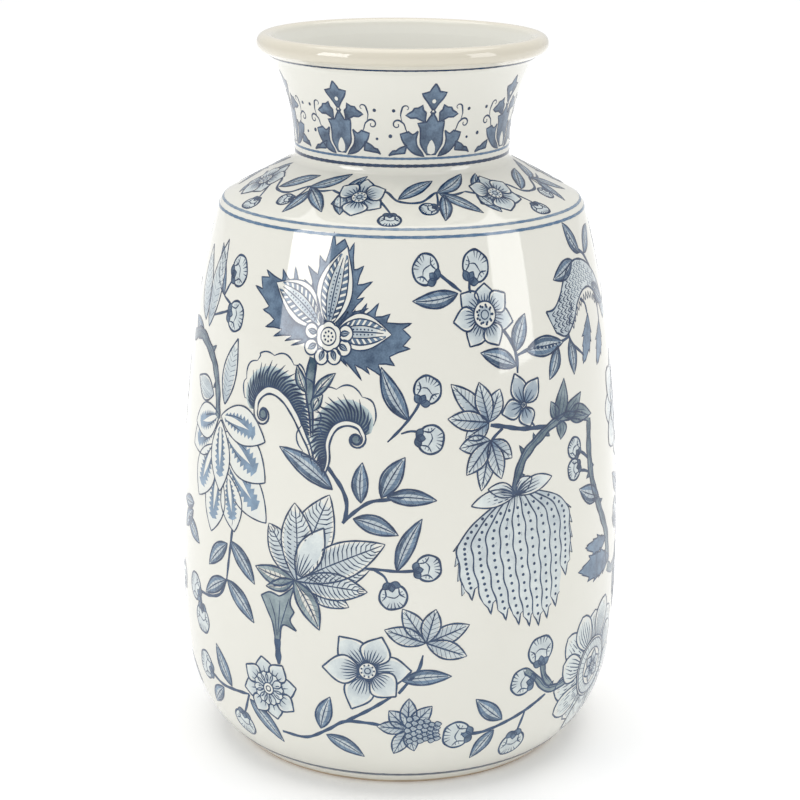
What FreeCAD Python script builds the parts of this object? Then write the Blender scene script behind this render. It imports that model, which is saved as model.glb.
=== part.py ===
import FreeCAD, Part
import os
import re
import Sketcher

# Blue-and-white porcelain vase, made the way a potter builds a tall jar: separate
# sections are thrown or cast, lapped into each other and luted with slip, and then
# glazed together. Millimetres, +Z up, origin on the axis at the plane it stands on.

doc = FreeCAD.newDocument("porcelain_vase")
sheet = doc.addObject("Spreadsheet::Sheet", "sizes")

# alias, value, what it is
DRIVING_SIZES = [
    ("wall", 5.0, "thickness of every section, square to its surface"),
    ("belly_radius", 108.6, "outer radius where the belly is widest"),
    ("belly_height", 92.0, "height of the widest place above the ground"),
    ("lower_bow", 450.0, "radius of the long curve below the widest place"),
    ("heel_height", 47.0, "height at which the heel starts to turn in"),
    ("heel_bow", 77.7, "radius of the upper heel curve"),
    ("heel_turn_height", 25.0, "height at which the heel turns in faster"),
    ("foot_inset", 22.3, "how far the wall has drawn in where it meets the foot ring"),
    ("foot_height", 5.5, "height of the foot ring below the wall"),
    ("foot_draw", 4.8, "how far the foot ring tapers in down to the ground"),
    ("foot_width", 9.6, "width of the foot ring at its bottom"),
    ("foot_chamfer", 0.8, "bevel on both bottom edges of the foot ring"),
    ("wall_stand", 4.4, "width of the wall's bottom edge that stands on the foot ring"),
    ("floor_thickness", 6.0, "thickness of the floor"),
    ("key_inset", 3.0, "gap between the bore of the foot ring and its key"),
    ("key_width", 3.0, "width of the key that locates the floor on the foot ring"),
    ("key_height", 2.0, "height of that key"),
    ("body_height", 268.0, "height of the shoulder's corner above the ground"),
    ("shoulder_inset", 20.3, "how far the side has drawn in at the shoulder's corner"),
    ("side_ease", 1.11, "how much flatter the lower side is than one plain arc"),
    ("side_share", 0.62, "share of the side's height that the flatter arc takes"),
    ("shoulder_seam_drop", 8.0, "height of the shoulder's skirt below its corner"),
    ("corner_radius", 9.0, "outer radius of the shoulder's corner"),
    ("shoulder_rise", 25.4, "height from the shoulder's corner to the neck seam"),
    ("root_fillet", 4.0, "hollow radius where the shoulder turns up into the neck"),
    ("neck_radius", 51.5, "outer radius of the neck at its waist"),
    ("neck_straight", 2.6, "straight height of the neck above its seam"),
    ("neck_flare", 91.0, "hollow radius of the neck's flare"),
    ("flare_height", 40.0, "height of the flare from the waist to the lip seam"),
    ("lip_roll", 4.2, "radius of the rolled lip"),
    ("lip_overhang", 4.3, "how far the centre of the roll stands out from the neck's rim"),
    ("lip_rise", 9.3, "height of the centre of the roll above the lip seam"),
    ("lap", 4.0, "height of the lapped joints between the upper sections"),
]

# alias, formula: the points and centres that the sections share
DERIVED_SIZES = [
    # foot ring and floor
    ("wall_foot_radius", "belly_radius - foot_inset"),
    ("foot_radius", "wall_foot_radius - foot_draw"),
    ("foot_bore", "foot_radius - foot_chamfer - foot_width"),
    ("key_bore", "foot_bore + key_inset"),
    ("floor_radius", "wall_foot_radius - wall_stand"),
    ("floor_top", "foot_height + floor_thickness"),
    # lower side: three tangent arcs from the widest place down to the foot ring
    ("lower_r", "belly_radius - lower_bow"),
    ("heel_start_r", "lower_r + sqrt(lower_bow^2 - (heel_height - belly_height)^2)"),
    ("heel_r", "heel_start_r + (lower_r - heel_start_r) * heel_bow / lower_bow"),
    ("heel_z", "heel_height + (belly_height - heel_height) * heel_bow / lower_bow"),
    ("turn_r", "heel_r + sqrt(heel_bow^2 - (heel_turn_height - heel_z)^2)"),
    ("turn_lean_r", "(heel_r - turn_r) / heel_bow"),
    ("turn_lean_z", "(heel_z - heel_turn_height) / heel_bow"),
    ("turn_dr", "wall_foot_radius - turn_r"),
    ("turn_dz", "foot_height - heel_turn_height"),
    ("turn_bow", "(turn_dr^2 + turn_dz^2) / 2 / (turn_dr * turn_lean_r + turn_dz * turn_lean_z)"),
    ("turn_centre_r", "turn_r + turn_bow * turn_lean_r"),
    ("turn_centre_z", "heel_turn_height + turn_bow * turn_lean_z"),
    # upper side: two tangent arcs from the widest place up to the shoulder's corner
    ("corner_r", "belly_radius - shoulder_inset"),
    ("side_height", "body_height - belly_height"),
    ("side_bow", "side_ease * (side_height^2 + shoulder_inset^2) / (2 * shoulder_inset)"),
    ("side_r", "belly_radius - side_bow"),
    ("bend_z", "belly_height + side_share * side_height"),
    ("bend_r", "side_r + sqrt(side_bow^2 - (bend_z - belly_height)^2)"),
    ("bend_lean_r", "(side_r - bend_r) / side_bow"),
    ("bend_lean_z", "(belly_height - bend_z) / side_bow"),
    ("bend_dr", "corner_r - bend_r"),
    ("bend_dz", "body_height - bend_z"),
    ("bend_bow", "(bend_dr^2 + bend_dz^2) / 2 / (bend_dr * bend_lean_r + bend_dz * bend_lean_z)"),
    ("bend_centre_r", "bend_r + bend_bow * bend_lean_r"),
    ("bend_centre_z", "bend_z + bend_bow * bend_lean_z"),
    ("skirt_z", "body_height - shoulder_seam_drop"),
    # shoulder: corner arc, straight slope, hollow fillet up into the neck
    ("corner_centre_r", "corner_r + (bend_centre_r - corner_r) * corner_radius / bend_bow"),
    ("corner_centre_z", "body_height + (bend_centre_z - body_height) * corner_radius / bend_bow"),
    ("root_r", "neck_radius + root_fillet"),
    ("root_z", "body_height + shoulder_rise"),
    ("slope_dr", "root_r - corner_centre_r"),
    ("slope_dz", "root_z - corner_centre_z"),
    ("slope_span", "sqrt(slope_dr^2 + slope_dz^2)"),
    ("slope_share", "(corner_radius + root_fillet) / slope_span"),
    ("slope_rest", "sqrt(1 - slope_share^2)"),
    ("slope_out", "(slope_share * slope_dr + slope_rest * slope_dz) / slope_span"),
    ("slope_up", "(slope_share * slope_dz - slope_rest * slope_dr) / slope_span"),
    # neck and lip
    ("bore_radius", "neck_radius - wall"),
    ("waist_z", "root_z + neck_straight"),
    ("flare_r", "neck_radius + neck_flare"),
    ("rim_z", "waist_z + flare_height"),
    ("rim_r", "flare_r - sqrt(neck_flare^2 - flare_height^2)"),
    ("roll_r", "rim_r + lip_overhang"),
    ("roll_z", "rim_z + lip_rise"),
    ("rim_out", "(flare_r - rim_r) / neck_flare"),
    ("rim_down", "flare_height / neck_flare"),
    ("cove_reach", "lip_overhang * rim_out - lip_rise * rim_down"),
    ("cove_bow", "(lip_overhang^2 + lip_rise^2 - lip_roll^2) / 2 / (lip_roll + cove_reach)"),
    ("cove_r", "rim_r + cove_bow * rim_out"),
    ("cove_z", "rim_z - cove_bow * rim_down"),
    ("roll_start_r", "roll_r + (cove_r - roll_r) * lip_roll / (lip_roll + cove_bow)"),
    ("roll_start_z", "roll_z + (cove_z - roll_z) * lip_roll / (lip_roll + cove_bow)"),
    ("tongue_z", "rim_z + lap"),
    ("tongue_r", "flare_r - sqrt((neck_flare + wall)^2 - (flare_height + lap)^2)"),
    ("throat_dr", "tongue_r - roll_r"),
    ("throat_dz", "tongue_z - roll_z"),
    ("throat_span2", "throat_dr^2 + throat_dz^2"),
    ("throat_run", "sqrt(throat_span2 - lip_roll^2)"),
    ("roll_end_r", "roll_r + lip_roll * (lip_roll * throat_dr + throat_run * throat_dz) / throat_span2"),
    ("roll_end_z", "roll_z + lip_roll * (lip_roll * throat_dz - throat_run * throat_dr) / throat_span2"),
]


def fill_sheet():
    """Write every size in a row of its own: its name, its value or formula, and a note."""
    row = 1
    for alias, value, note in DRIVING_SIZES:
        sheet.set(f"A{row}", alias)
        sheet.set(f"B{row}", str(value))
        sheet.set(f"C{row}", note)
        sheet.setAlias(f"B{row}", alias)
        row += 1
    for alias, formula in DERIVED_SIZES:
        sheet.set(f"A{row}", alias)
        sheet.set(f"B{row}", "=" + formula)
        sheet.setAlias(f"B{row}", alias)
        row += 1
    doc.recompute()


fill_sheet()
SIZE_PATHS = {row[0]: "sizes." + row[0] for row in DRIVING_SIZES + DERIVED_SIZES}


def in_sheet(expression):
    """Point each size's name in an expression at the sheet."""
    return re.sub(r"[a-z]\w*", lambda word: SIZE_PATHS.get(word[0], word[0]), expression)


def arc_between(start, end, radius, turns_left):
    """Arc shorter than a half circle, bending to the left or right on its way."""
    half = (end - start) * 0.5
    across = FreeCAD.Vector(-half.y, half.x, 0).normalize()
    rise = (radius ** 2 - half.Length ** 2) ** 0.5
    centre = start + half + across * (rise if turns_left else -rise)
    circle = Part.Circle(centre, FreeCAD.Vector(0, 0, 1), radius)
    first, last = (start, end) if turns_left else (end, start)
    return Part.ArcOfCircle(circle, circle.parameter(first), circle.parameter(last))


def section_body(label, corners):
    """Turn one closed outline round the vase's axis.

    A corner is (radius, height, edge): two expressions, and the edge to the next
    corner, which is None where it is straight, or (bow radius, "left" or "right").
    """
    body = doc.addObject("PartDesign::Body", label + "_body")
    body.Label = label
    outline = body.newObject("Sketcher::SketchObject", label + "_outline")
    plane = [feature for feature in body.Origin.OriginFeatures if feature.Role == "XZ_Plane"][0]
    outline.AttachmentSupport = [(plane, "")]
    outline.MapMode = "FlatFace"

    def read(expression):
        return float(outline.evalExpression(in_sheet(expression)))

    points = [FreeCAD.Vector(read(r), read(z), 0) for r, z, edge in corners]
    starts = []
    ends = []
    for index, (r, z, edge) in enumerate(corners):
        here = points[index]
        there = points[(index + 1) % len(points)]
        if edge is None:
            outline.addGeometry(Part.LineSegment(here, there), False)
            starts.append(1)
            ends.append(2)
        else:
            bow, side = edge
            outline.addGeometry(arc_between(here, there, read(bow), side == "left"), False)
            starts.append(1 if side == "left" else 2)
            ends.append(2 if side == "left" else 1)

    def dimension(kind, name, expression, *picks):
        number = outline.addConstraint(Sketcher.Constraint(kind, *picks, read(expression)))
        outline.renameConstraint(number, name)
        outline.setExpression("Constraints." + name, in_sheet(expression))

    for index, (r, z, edge) in enumerate(corners):
        before = index - 1 if index else len(corners) - 1
        outline.addConstraint(Sketcher.Constraint("Coincident", before, ends[before], index, starts[index]))
        if r == "0":
            outline.addConstraint(Sketcher.Constraint("PointOnObject", index, starts[index], -2))
        else:
            dimension("DistanceX", f"radius_{index}", r, -1, 1, index, starts[index])
        if z == "0":
            outline.addConstraint(Sketcher.Constraint("PointOnObject", index, starts[index], -1))
        else:
            dimension("DistanceY", f"height_{index}", z, -1, 1, index, starts[index])
        if edge is not None:
            dimension("Radius", f"bow_{index}", edge[0], index)
    turned = body.newObject("PartDesign::Revolution", label + "_turned")
    turned.Profile = outline
    turned.ReferenceAxis = (outline, ["V_Axis"])
    turned.Angle = 360
    outline.Visibility = False
    return body


def out_from(centre_r, centre_z, bow, height):
    """Radius at a height on an arc whose centre lies towards the axis."""
    return f"{centre_r} + sqrt(({bow})^2 - ({height} - {centre_z})^2)"


def in_from(centre_r, centre_z, bow, height):
    """Radius at a height on an arc whose centre lies outside the surface."""
    return f"{centre_r} - sqrt(({bow})^2 - ({height} - {centre_z})^2)"


def foot_ring():
    """Unglazed ring that the vase stands on, with a key that locates the floor."""
    return section_body("foot_ring", [
        ("foot_bore", "foot_height", None),
        ("foot_bore", "foot_chamfer", None),
        ("foot_bore + foot_chamfer", "0", None),
        ("foot_radius - foot_chamfer", "0", None),
        ("foot_radius", "foot_chamfer", None),
        ("wall_foot_radius", "foot_height", None),
        ("key_bore + key_width", "foot_height", None),
        ("key_bore + key_width", "foot_height + key_height", None),
        ("key_bore", "foot_height + key_height", None),
        ("key_bore", "foot_height", None),
    ])


def floor_disc():
    """Floor of the vase, grooved underneath for the key of the foot ring."""
    return section_body("floor_disc", [
        ("0", "foot_height", None),
        ("key_bore", "foot_height", None),
        ("key_bore", "foot_height + key_height", None),
        ("key_bore + key_width", "foot_height + key_height", None),
        ("key_bore + key_width", "foot_height", None),
        ("floor_radius", "foot_height", None),
        ("floor_radius", "floor_top", None),
        ("0", "floor_top", None),
    ])


def belly_wall():
    """Side of the vase from the foot ring to the seam below the shoulder."""
    tongue_top = "skirt_z + lap"
    inner = "bend_bow - wall"
    middle = "bend_bow - wall / 2"
    return section_body("belly_wall", [
        ("floor_radius", "foot_height", None),
        ("wall_foot_radius", "foot_height", ("turn_bow", "left")),
        ("turn_r", "heel_turn_height", ("heel_bow", "left")),
        ("heel_start_r", "heel_height", ("lower_bow", "left")),
        ("belly_radius", "belly_height", ("side_bow", "left")),
        ("bend_r", "bend_z", ("bend_bow", "left")),
        (out_from("bend_centre_r", "bend_centre_z", "bend_bow", "skirt_z"), "skirt_z", None),
        (out_from("bend_centre_r", "bend_centre_z", middle, "skirt_z"), "skirt_z", (middle, "left")),
        (out_from("bend_centre_r", "bend_centre_z", middle, tongue_top), tongue_top, None),
        (out_from("bend_centre_r", "bend_centre_z", inner, tongue_top), tongue_top, (inner, "right")),
        ("bend_r + wall * bend_lean_r", "bend_z + wall * bend_lean_z", ("side_bow - wall", "right")),
        ("belly_radius - wall", "belly_height", ("lower_bow - wall", "right")),
        ("heel_start_r + wall * (lower_r - heel_start_r) / lower_bow",
         "heel_height + wall * (belly_height - heel_height) / lower_bow", ("heel_bow - wall", "right")),
        ("turn_r + wall * turn_lean_r", "heel_turn_height + wall * turn_lean_z", ("turn_bow - wall", "right")),
        (out_from("turn_centre_r", "turn_centre_z", "turn_bow - wall", "floor_top"), "floor_top", None),
        ("floor_radius", "floor_top", None),
    ])


def shoulder_section():
    """Sloping shoulder: a skirt over the belly's tongue, a rounded corner and a neck spigot."""
    tongue_top = "skirt_z + lap"
    inner = "bend_bow - wall"
    middle = "bend_bow - wall / 2"
    corner_lean_r = "(bend_centre_r - corner_r) / bend_bow"
    corner_lean_z = "(bend_centre_z - body_height) / bend_bow"
    return section_body("shoulder_section", [
        (out_from("bend_centre_r", "bend_centre_z", "bend_bow", "skirt_z"), "skirt_z", ("bend_bow", "left")),
        ("corner_r", "body_height", ("corner_radius", "left")),
        ("corner_centre_r + corner_radius * slope_out", "corner_centre_z + corner_radius * slope_up", None),
        ("root_r - root_fillet * slope_out", "root_z - root_fillet * slope_up", ("root_fillet", "right")),
        ("neck_radius", "root_z", None),
        ("neck_radius - wall / 2", "root_z", None),
        ("neck_radius - wall / 2", "root_z + lap", None),
        ("bore_radius", "root_z + lap", None),
        ("bore_radius", "root_z", ("root_fillet + wall", "left")),
        ("root_r - (root_fillet + wall) * slope_out", "root_z - (root_fillet + wall) * slope_up", None),
        ("corner_centre_r + (corner_radius - wall) * slope_out",
         "corner_centre_z + (corner_radius - wall) * slope_up", ("corner_radius - wall", "right")),
        (f"corner_r + wall * {corner_lean_r}", f"body_height + wall * {corner_lean_z}", (inner, "right")),
        (out_from("bend_centre_r", "bend_centre_z", inner, tongue_top), tongue_top, None),
        (out_from("bend_centre_r", "bend_centre_z", middle, tongue_top), tongue_top, (middle, "right")),
        (out_from("bend_centre_r", "bend_centre_z", middle, "skirt_z"), "skirt_z", None),
    ])


def neck_section():
    """Flared neck, seated over the shoulder's spigot, with a tongue for the lip."""
    spigot_top = "root_z + lap"
    middle = "neck_flare + wall / 2"
    inner = "neck_flare + wall"
    return section_body("neck_section", [
        ("neck_radius - wall / 2", "root_z", None),
        ("neck_radius", "root_z", None),
        ("neck_radius", "waist_z", ("neck_flare", "right")),
        ("rim_r", "rim_z", None),
        (in_from("flare_r", "waist_z", middle, "rim_z"), "rim_z", (middle, "right")),
        (in_from("flare_r", "waist_z", middle, "tongue_z"), "tongue_z", None),
        ("tongue_r", "tongue_z", (inner, "left")),
        (in_from("flare_r", "waist_z", inner, spigot_top), spigot_top, None),
        ("neck_radius - wall / 2", spigot_top, None),
    ])


def lip_ring():
    """Rolled lip: a hollow cove out of the neck, then a round roll over the top."""
    middle = "neck_flare + wall / 2"
    return section_body("lip_ring", [
        ("rim_r", "rim_z", ("cove_bow", "right")),
        ("roll_start_r", "roll_start_z", ("lip_roll", "left")),
        ("roll_r", "roll_z + lip_roll", ("lip_roll", "left")),
        ("roll_end_r", "roll_end_z", None),
        ("tongue_r", "tongue_z", None),
        (in_from("flare_r", "waist_z", middle, "tongue_z"), "tongue_z", (middle, "left")),
        (in_from("flare_r", "waist_z", middle, "rim_z"), "rim_z", None),
    ])


sections = [foot_ring(), floor_disc(), belly_wall(), shoulder_section(), neck_section(), lip_ring()]
doc.recompute()

for item in doc.Objects:
    if "Invalid" in item.State or "Error" in item.State:
        raise RuntimeError(f"{item.Label} did not compute: {item.State}")
for section in sections:
    shape = section.Shape
    if shape.isNull() or not shape.isValid() or len(shape.Solids) != 1:
        raise RuntimeError(f"{section.Label} is not one valid solid")

os.makedirs("parts", exist_ok=True)
for section in sections:
    section.Shape.exportStep(f"parts/{section.Label}.step")
    box = section.Shape.optimalBoundingBox()
    print(f"{section.Label}: volume {section.Shape.Volume:.0f} mm3, radius {box.XMax:.2f}, "
          f"z {box.ZMin:.2f} to {box.ZMax:.2f}")
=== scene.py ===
import math
import bmesh
import bpy
import numpy as np
from mathutils import Matrix, Vector
from mathutils.geometry import delaunay_2d_cdt


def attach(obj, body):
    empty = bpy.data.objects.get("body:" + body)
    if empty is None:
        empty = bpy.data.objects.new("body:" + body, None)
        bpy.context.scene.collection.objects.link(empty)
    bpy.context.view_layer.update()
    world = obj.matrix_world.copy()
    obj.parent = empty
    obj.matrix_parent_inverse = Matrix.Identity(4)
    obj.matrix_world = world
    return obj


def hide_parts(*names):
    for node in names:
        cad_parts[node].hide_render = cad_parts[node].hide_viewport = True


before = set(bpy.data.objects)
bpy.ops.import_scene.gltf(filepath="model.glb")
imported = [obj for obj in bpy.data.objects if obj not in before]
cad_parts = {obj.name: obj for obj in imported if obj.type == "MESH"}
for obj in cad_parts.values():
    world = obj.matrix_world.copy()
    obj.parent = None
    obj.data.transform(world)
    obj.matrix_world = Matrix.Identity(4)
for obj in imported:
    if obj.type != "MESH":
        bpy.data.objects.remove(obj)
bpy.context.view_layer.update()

# ---------------------------------------------------------------------------
# Foot ring
# The vase stands on a ring of bare porcelain. It is turned on the wheel from
# stiff clay and wiped clean of glaze, so that it doesn't stick in the kiln.
# ---------------------------------------------------------------------------
MM = 0.001
TURNS = 256                  # steps of a full turn on the wheel
SHARP = math.radians(38)     # edges sharper than this stay crisp
FOOT_HEIGHT = 5.5
WALL_FOOT_RADIUS = 86.3      # where the wall stands on the ring
FOOT_RADIUS = 81.5           # at the ground
FOOT_BORE = 71.1
FOOT_BEVEL = 0.8
WIPED_HEIGHT = 1.6           # glaze is wiped off below this
KEY_BORE = 74.1
KEY_WIDTH = 3.0
KEY_HEIGHT = 2.0


def linear(hex_colour):
    """An sRGB hex colour as linear red, green, blue and alpha."""
    parts = [int(hex_colour[i:i + 2], 16) / 255 for i in (1, 3, 5)]
    return [p / 12.92 if p <= 0.04045 else ((p + 0.055) / 1.055) ** 2.4 for p in parts] + [1.0]


def add(tree, kind, settings=None, **inputs):
    """Add one node: its settings, then its inputs, each a value or another node's output."""
    made = tree.nodes.new(kind)
    for key, value in (settings or {}).items():
        setattr(made, key, value)
    for key, value in inputs.items():
        socket = made.inputs[int(key[1:])] if key[1:].isdigit() else made.inputs[key.replace("_", " ")]
        if isinstance(value, bpy.types.NodeSocket):
            tree.links.new(value, socket)
        else:
            socket.default_value = value
    return made


def new_material(name):
    """An empty node tree with a Principled shader on its output."""
    made = bpy.data.materials.new(name)
    made.use_nodes = True
    made.node_tree.nodes.clear()
    shader = add(made.node_tree, "ShaderNodeBsdfPrincipled")
    add(made.node_tree, "ShaderNodeOutputMaterial", Surface=shader.outputs[0])
    return made, made.node_tree, shader


def lathe(name, outline):
    """Turn a closed outline of (radius, height) in mm round the axis into a solid piece."""
    bm = bmesh.new()
    corners = [bm.verts.new((r * MM, 0, z * MM)) for r, z in outline]
    rim = [bm.edges.new((corners[i - 1], corners[i])) for i in range(len(corners))]
    bmesh.ops.spin(bm, geom=corners + rim, axis=(0, 0, 1), cent=(0, 0, 0), angle=math.tau,
                   steps=TURNS, use_merge=True)
    bmesh.ops.remove_doubles(bm, verts=bm.verts, dist=1e-6)
    bmesh.ops.dissolve_degenerate(bm, edges=bm.edges, dist=1e-7)
    bmesh.ops.recalc_face_normals(bm, faces=bm.faces)
    for face in bm.faces:
        face.smooth = True
    for edge in bm.edges:
        edge.smooth = len(edge.link_faces) < 2 or edge.calc_face_angle(0) < SHARP
    mesh = bpy.data.meshes.new(name)
    bm.to_mesh(mesh)
    bm.free()
    piece = bpy.data.objects.new(name, mesh)
    bpy.context.scene.collection.objects.link(piece)
    return piece


def set_up(piece, material, slot, *nodes):
    """Give a piece its finish, join it to the vase's body, and hide the solids it stands for."""
    piece.data.materials.append(material)
    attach(piece, "root")
    if nodes:
        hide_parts(*nodes)


# Fired porcelain without glaze: dry, slightly toasted, with fine turning lines
# left by the rib and a sandy grain that the eye reads as matte. Above the wiped
# tread the ring's outer side keeps a thin wet coat of glaze.
bare, tree, shader = new_material("bare_fired_porcelain")
where = add(tree, "ShaderNodeTexCoord").outputs["Object"]
grain = add(tree, "ShaderNodeTexNoise", Vector=where, Scale=1 / (0.9 * MM), Detail=4.0)
toast = add(tree, "ShaderNodeTexNoise", Vector=where, Scale=1 / (14 * MM), Detail=3.0)
clay = add(tree, "ShaderNodeMix", {"data_type": "RGBA"}, _0=toast.outputs[0],
           _6=linear("#A8937A"), _7=linear("#CDBCA3"))
height = add(tree, "ShaderNodeSeparateXYZ", Vector=where)
edge = add(tree, "ShaderNodeMath", {"operation": "MULTIPLY_ADD"}, _0=toast.outputs[0], _1=0.8 * MM,
           _2=height.outputs[2])
above = add(tree, "ShaderNodeMapRange", {"interpolation_type": "SMOOTHSTEP"}, Value=edge.outputs[0],
            From_Min=WIPED_HEIGHT * MM, From_Max=(WIPED_HEIGHT + 0.9) * MM)
girth = add(tree, "ShaderNodeVectorMath", {"operation": "LENGTH"}, _0=where)
outside = add(tree, "ShaderNodeMath", {"operation": "GREATER_THAN"}, _0=girth.outputs["Value"],
              _1=(FOOT_RADIUS - FOOT_BEVEL) * MM)
coat = add(tree, "ShaderNodeMath", {"operation": "MULTIPLY"}, _0=above.outputs[0], _1=outside.outputs[0])
tone = add(tree, "ShaderNodeMix", {"data_type": "RGBA"}, _0=coat.outputs[0],
           _6=clay.outputs[2], _7=linear("#E9E8DE"))
dry = add(tree, "ShaderNodeMapRange", Value=grain.outputs[0], To_Min=0.62, To_Max=0.85)
rough = add(tree, "ShaderNodeMix", {"data_type": "FLOAT"}, _0=coat.outputs[0], _2=dry.outputs[0], _3=0.06)
turning = add(tree, "ShaderNodeTexWave", {"bands_direction": "Z"}, Vector=where,
              Scale=1 / (6 * MM), Distortion=1.5, Detail=2.0)
relief = add(tree, "ShaderNodeBump", Strength=0.15, Distance=0.05 * MM, Height=turning.outputs[1])
tree.links.new(tone.outputs[2], shader.inputs["Base Color"])
tree.links.new(rough.outputs[0], shader.inputs["Roughness"])
tree.links.new(relief.outputs[0], shader.inputs["Normal"])

foot = lathe("foot_ring_turned", [
    (FOOT_BORE, FOOT_HEIGHT), (FOOT_BORE, FOOT_BEVEL), (FOOT_BORE + FOOT_BEVEL, 0),
    (FOOT_RADIUS - FOOT_BEVEL, 0), (FOOT_RADIUS, FOOT_BEVEL), (WALL_FOOT_RADIUS, FOOT_HEIGHT),
    (KEY_BORE + KEY_WIDTH, FOOT_HEIGHT), (KEY_BORE + KEY_WIDTH, FOOT_HEIGHT + KEY_HEIGHT),
    (KEY_BORE, FOOT_HEIGHT + KEY_HEIGHT), (KEY_BORE, FOOT_HEIGHT)])
set_up(foot, bare, "bare_porcelain", "foot_ring")

# ---------------------------------------------------------------------------
# Floor disc
# A flat bat of porcelain closes the vase. It sits on the foot ring, located by
# the ring's key, and is glazed on both faces.
# ---------------------------------------------------------------------------
FLOOR_TOP = 11.5
FLOOR_RADIUS = 81.9

# Clear feldspar glaze over white porcelain: the body gives a warm milk white that
# drifts a little in tone, the glaze a wet, sharp reflection with faint orange peel.
# On the turned-over rim the glaze pools and fires a shade creamier.
POOL_LOW, POOL_HIGH = 337.5, 343.0       # heights between which the glaze turns creamy, mm
THROAT, ROLL_OUT = 60.0, 64.5            # radii between which it does so

glazed, tree, shader = new_material("clear_glazed_porcelain")
where = add(tree, "ShaderNodeTexCoord").outputs["Object"]
drift = add(tree, "ShaderNodeTexNoise", Vector=where, Scale=1 / (60 * MM), Detail=3.0)
tone = add(tree, "ShaderNodeMix", {"data_type": "RGBA"}, _0=drift.outputs[0],
           _6=linear("#DBDAD0"), _7=linear("#E3E2DA"))
height = add(tree, "ShaderNodeSeparateXYZ", Vector=where)
girth = add(tree, "ShaderNodeVectorMath", {"operation": "LENGTH"},
            _0=add(tree, "ShaderNodeVectorMath", {"operation": "MULTIPLY"}, _0=where,
                   _1=(1, 1, 0)).outputs[0])
high = add(tree, "ShaderNodeMapRange", {"interpolation_type": "SMOOTHSTEP"}, Value=height.outputs[2],
           From_Min=POOL_LOW * MM, From_Max=POOL_HIGH * MM)
outer = add(tree, "ShaderNodeMapRange", {"interpolation_type": "SMOOTHSTEP"},
            Value=girth.outputs["Value"], From_Min=THROAT * MM, From_Max=ROLL_OUT * MM)
pool = add(tree, "ShaderNodeMath", {"operation": "MULTIPLY"}, _0=high.outputs[0], _1=outer.outputs[0])
cream = add(tree, "ShaderNodeMix", {"data_type": "RGBA"}, _0=pool.outputs[0],
            _6=tone.outputs[2], _7=linear("#D3CDBD"))
peel = add(tree, "ShaderNodeTexNoise", Vector=where, Scale=1 / (3.5 * MM), Detail=1.0)
relief = add(tree, "ShaderNodeBump", Strength=0.05, Distance=0.05 * MM, Height=peel.outputs[0])
wet = add(tree, "ShaderNodeMapRange", Value=drift.outputs[0], To_Min=0.03, To_Max=0.06)
tree.links.new(cream.outputs[2], shader.inputs["Base Color"])
tree.links.new(wet.outputs[0], shader.inputs["Roughness"])
tree.links.new(relief.outputs[0], shader.inputs["Normal"])
shader.inputs["IOR"].default_value = 1.52

floor_plate = lathe("floor_disc_glazed", [
    (0, FOOT_HEIGHT), (KEY_BORE, FOOT_HEIGHT), (KEY_BORE, FOOT_HEIGHT + KEY_HEIGHT),
    (KEY_BORE + KEY_WIDTH, FOOT_HEIGHT + KEY_HEIGHT), (KEY_BORE + KEY_WIDTH, FOOT_HEIGHT),
    (FLOOR_RADIUS, FOOT_HEIGHT), (FLOOR_RADIUS, FLOOR_TOP), (0, FLOOR_TOP)])
set_up(floor_plate, glazed, "white_glaze", "floor_disc")

# ---------------------------------------------------------------------------
# Belly wall
# The tall side is thrown in one piece: a quick heel, a long soft curve up to the
# widest place, and a slow draw in towards the shoulder. Its top edge is thinned
# to a tongue that the shoulder laps over.
# ---------------------------------------------------------------------------
WALL = 5.0
LAP = 4.0                    # height of the lapped joints
BELLY_RADIUS = 108.6
BELLY_HEIGHT = 92.0
HEEL_HEIGHT = 47.0
HEEL_TURN_HEIGHT = 25.0
LOWER_BOW = 450.0
HEEL_BOW = 77.7
SHOULDER_HEIGHT = 268.0
SHOULDER_RADIUS = 88.3
SIDE_EASE = 1.11
SIDE_SHARE = 0.62
SKIRT_HEIGHT = 260.0         # seam between the belly and the shoulder
CORNER_BOW = 9.0
NECK_RADIUS = 51.5
NECK_SEAM = 293.4
ROOT_BOW = 4.0
WAIST_HEIGHT = 296.0
FLARE_BOW = 91.0
RIM_HEIGHT = 336.0           # seam between the neck and the lip
LONG_STEP = 1.6              # height between samples on a long curve
LONG_BOW = 60                # a curve with a larger radius than this is a long one
TURN_STEP = math.radians(3)  # turn between samples on any other
TIGHT_BOW = 20               # a curve with a smaller radius than this gets twice the samples
JUST_OFF = 0.4               # the wall's inside meets the floor this far in from its last sample


def tangent_arc(start, centre, bow, height):
    """The next arc of a curve: it leaves start square to the line to the old centre, up to a height."""
    lean = Vector(centre) - Vector(start)
    new_centre = Vector(start) + lean.normalized() * bow
    end_radius = new_centre.x + math.sqrt(bow ** 2 - (height - new_centre.y) ** 2)
    return tuple(new_centre), (end_radius, height)


def closing_bow(start, centre, end):
    """Radius of the tangent arc that leaves start and passes through end."""
    lean = (Vector(centre) - Vector(start)).normalized()
    chord = Vector(end) - Vector(start)
    return chord.length_squared / 2 / chord.dot(lean)


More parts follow.
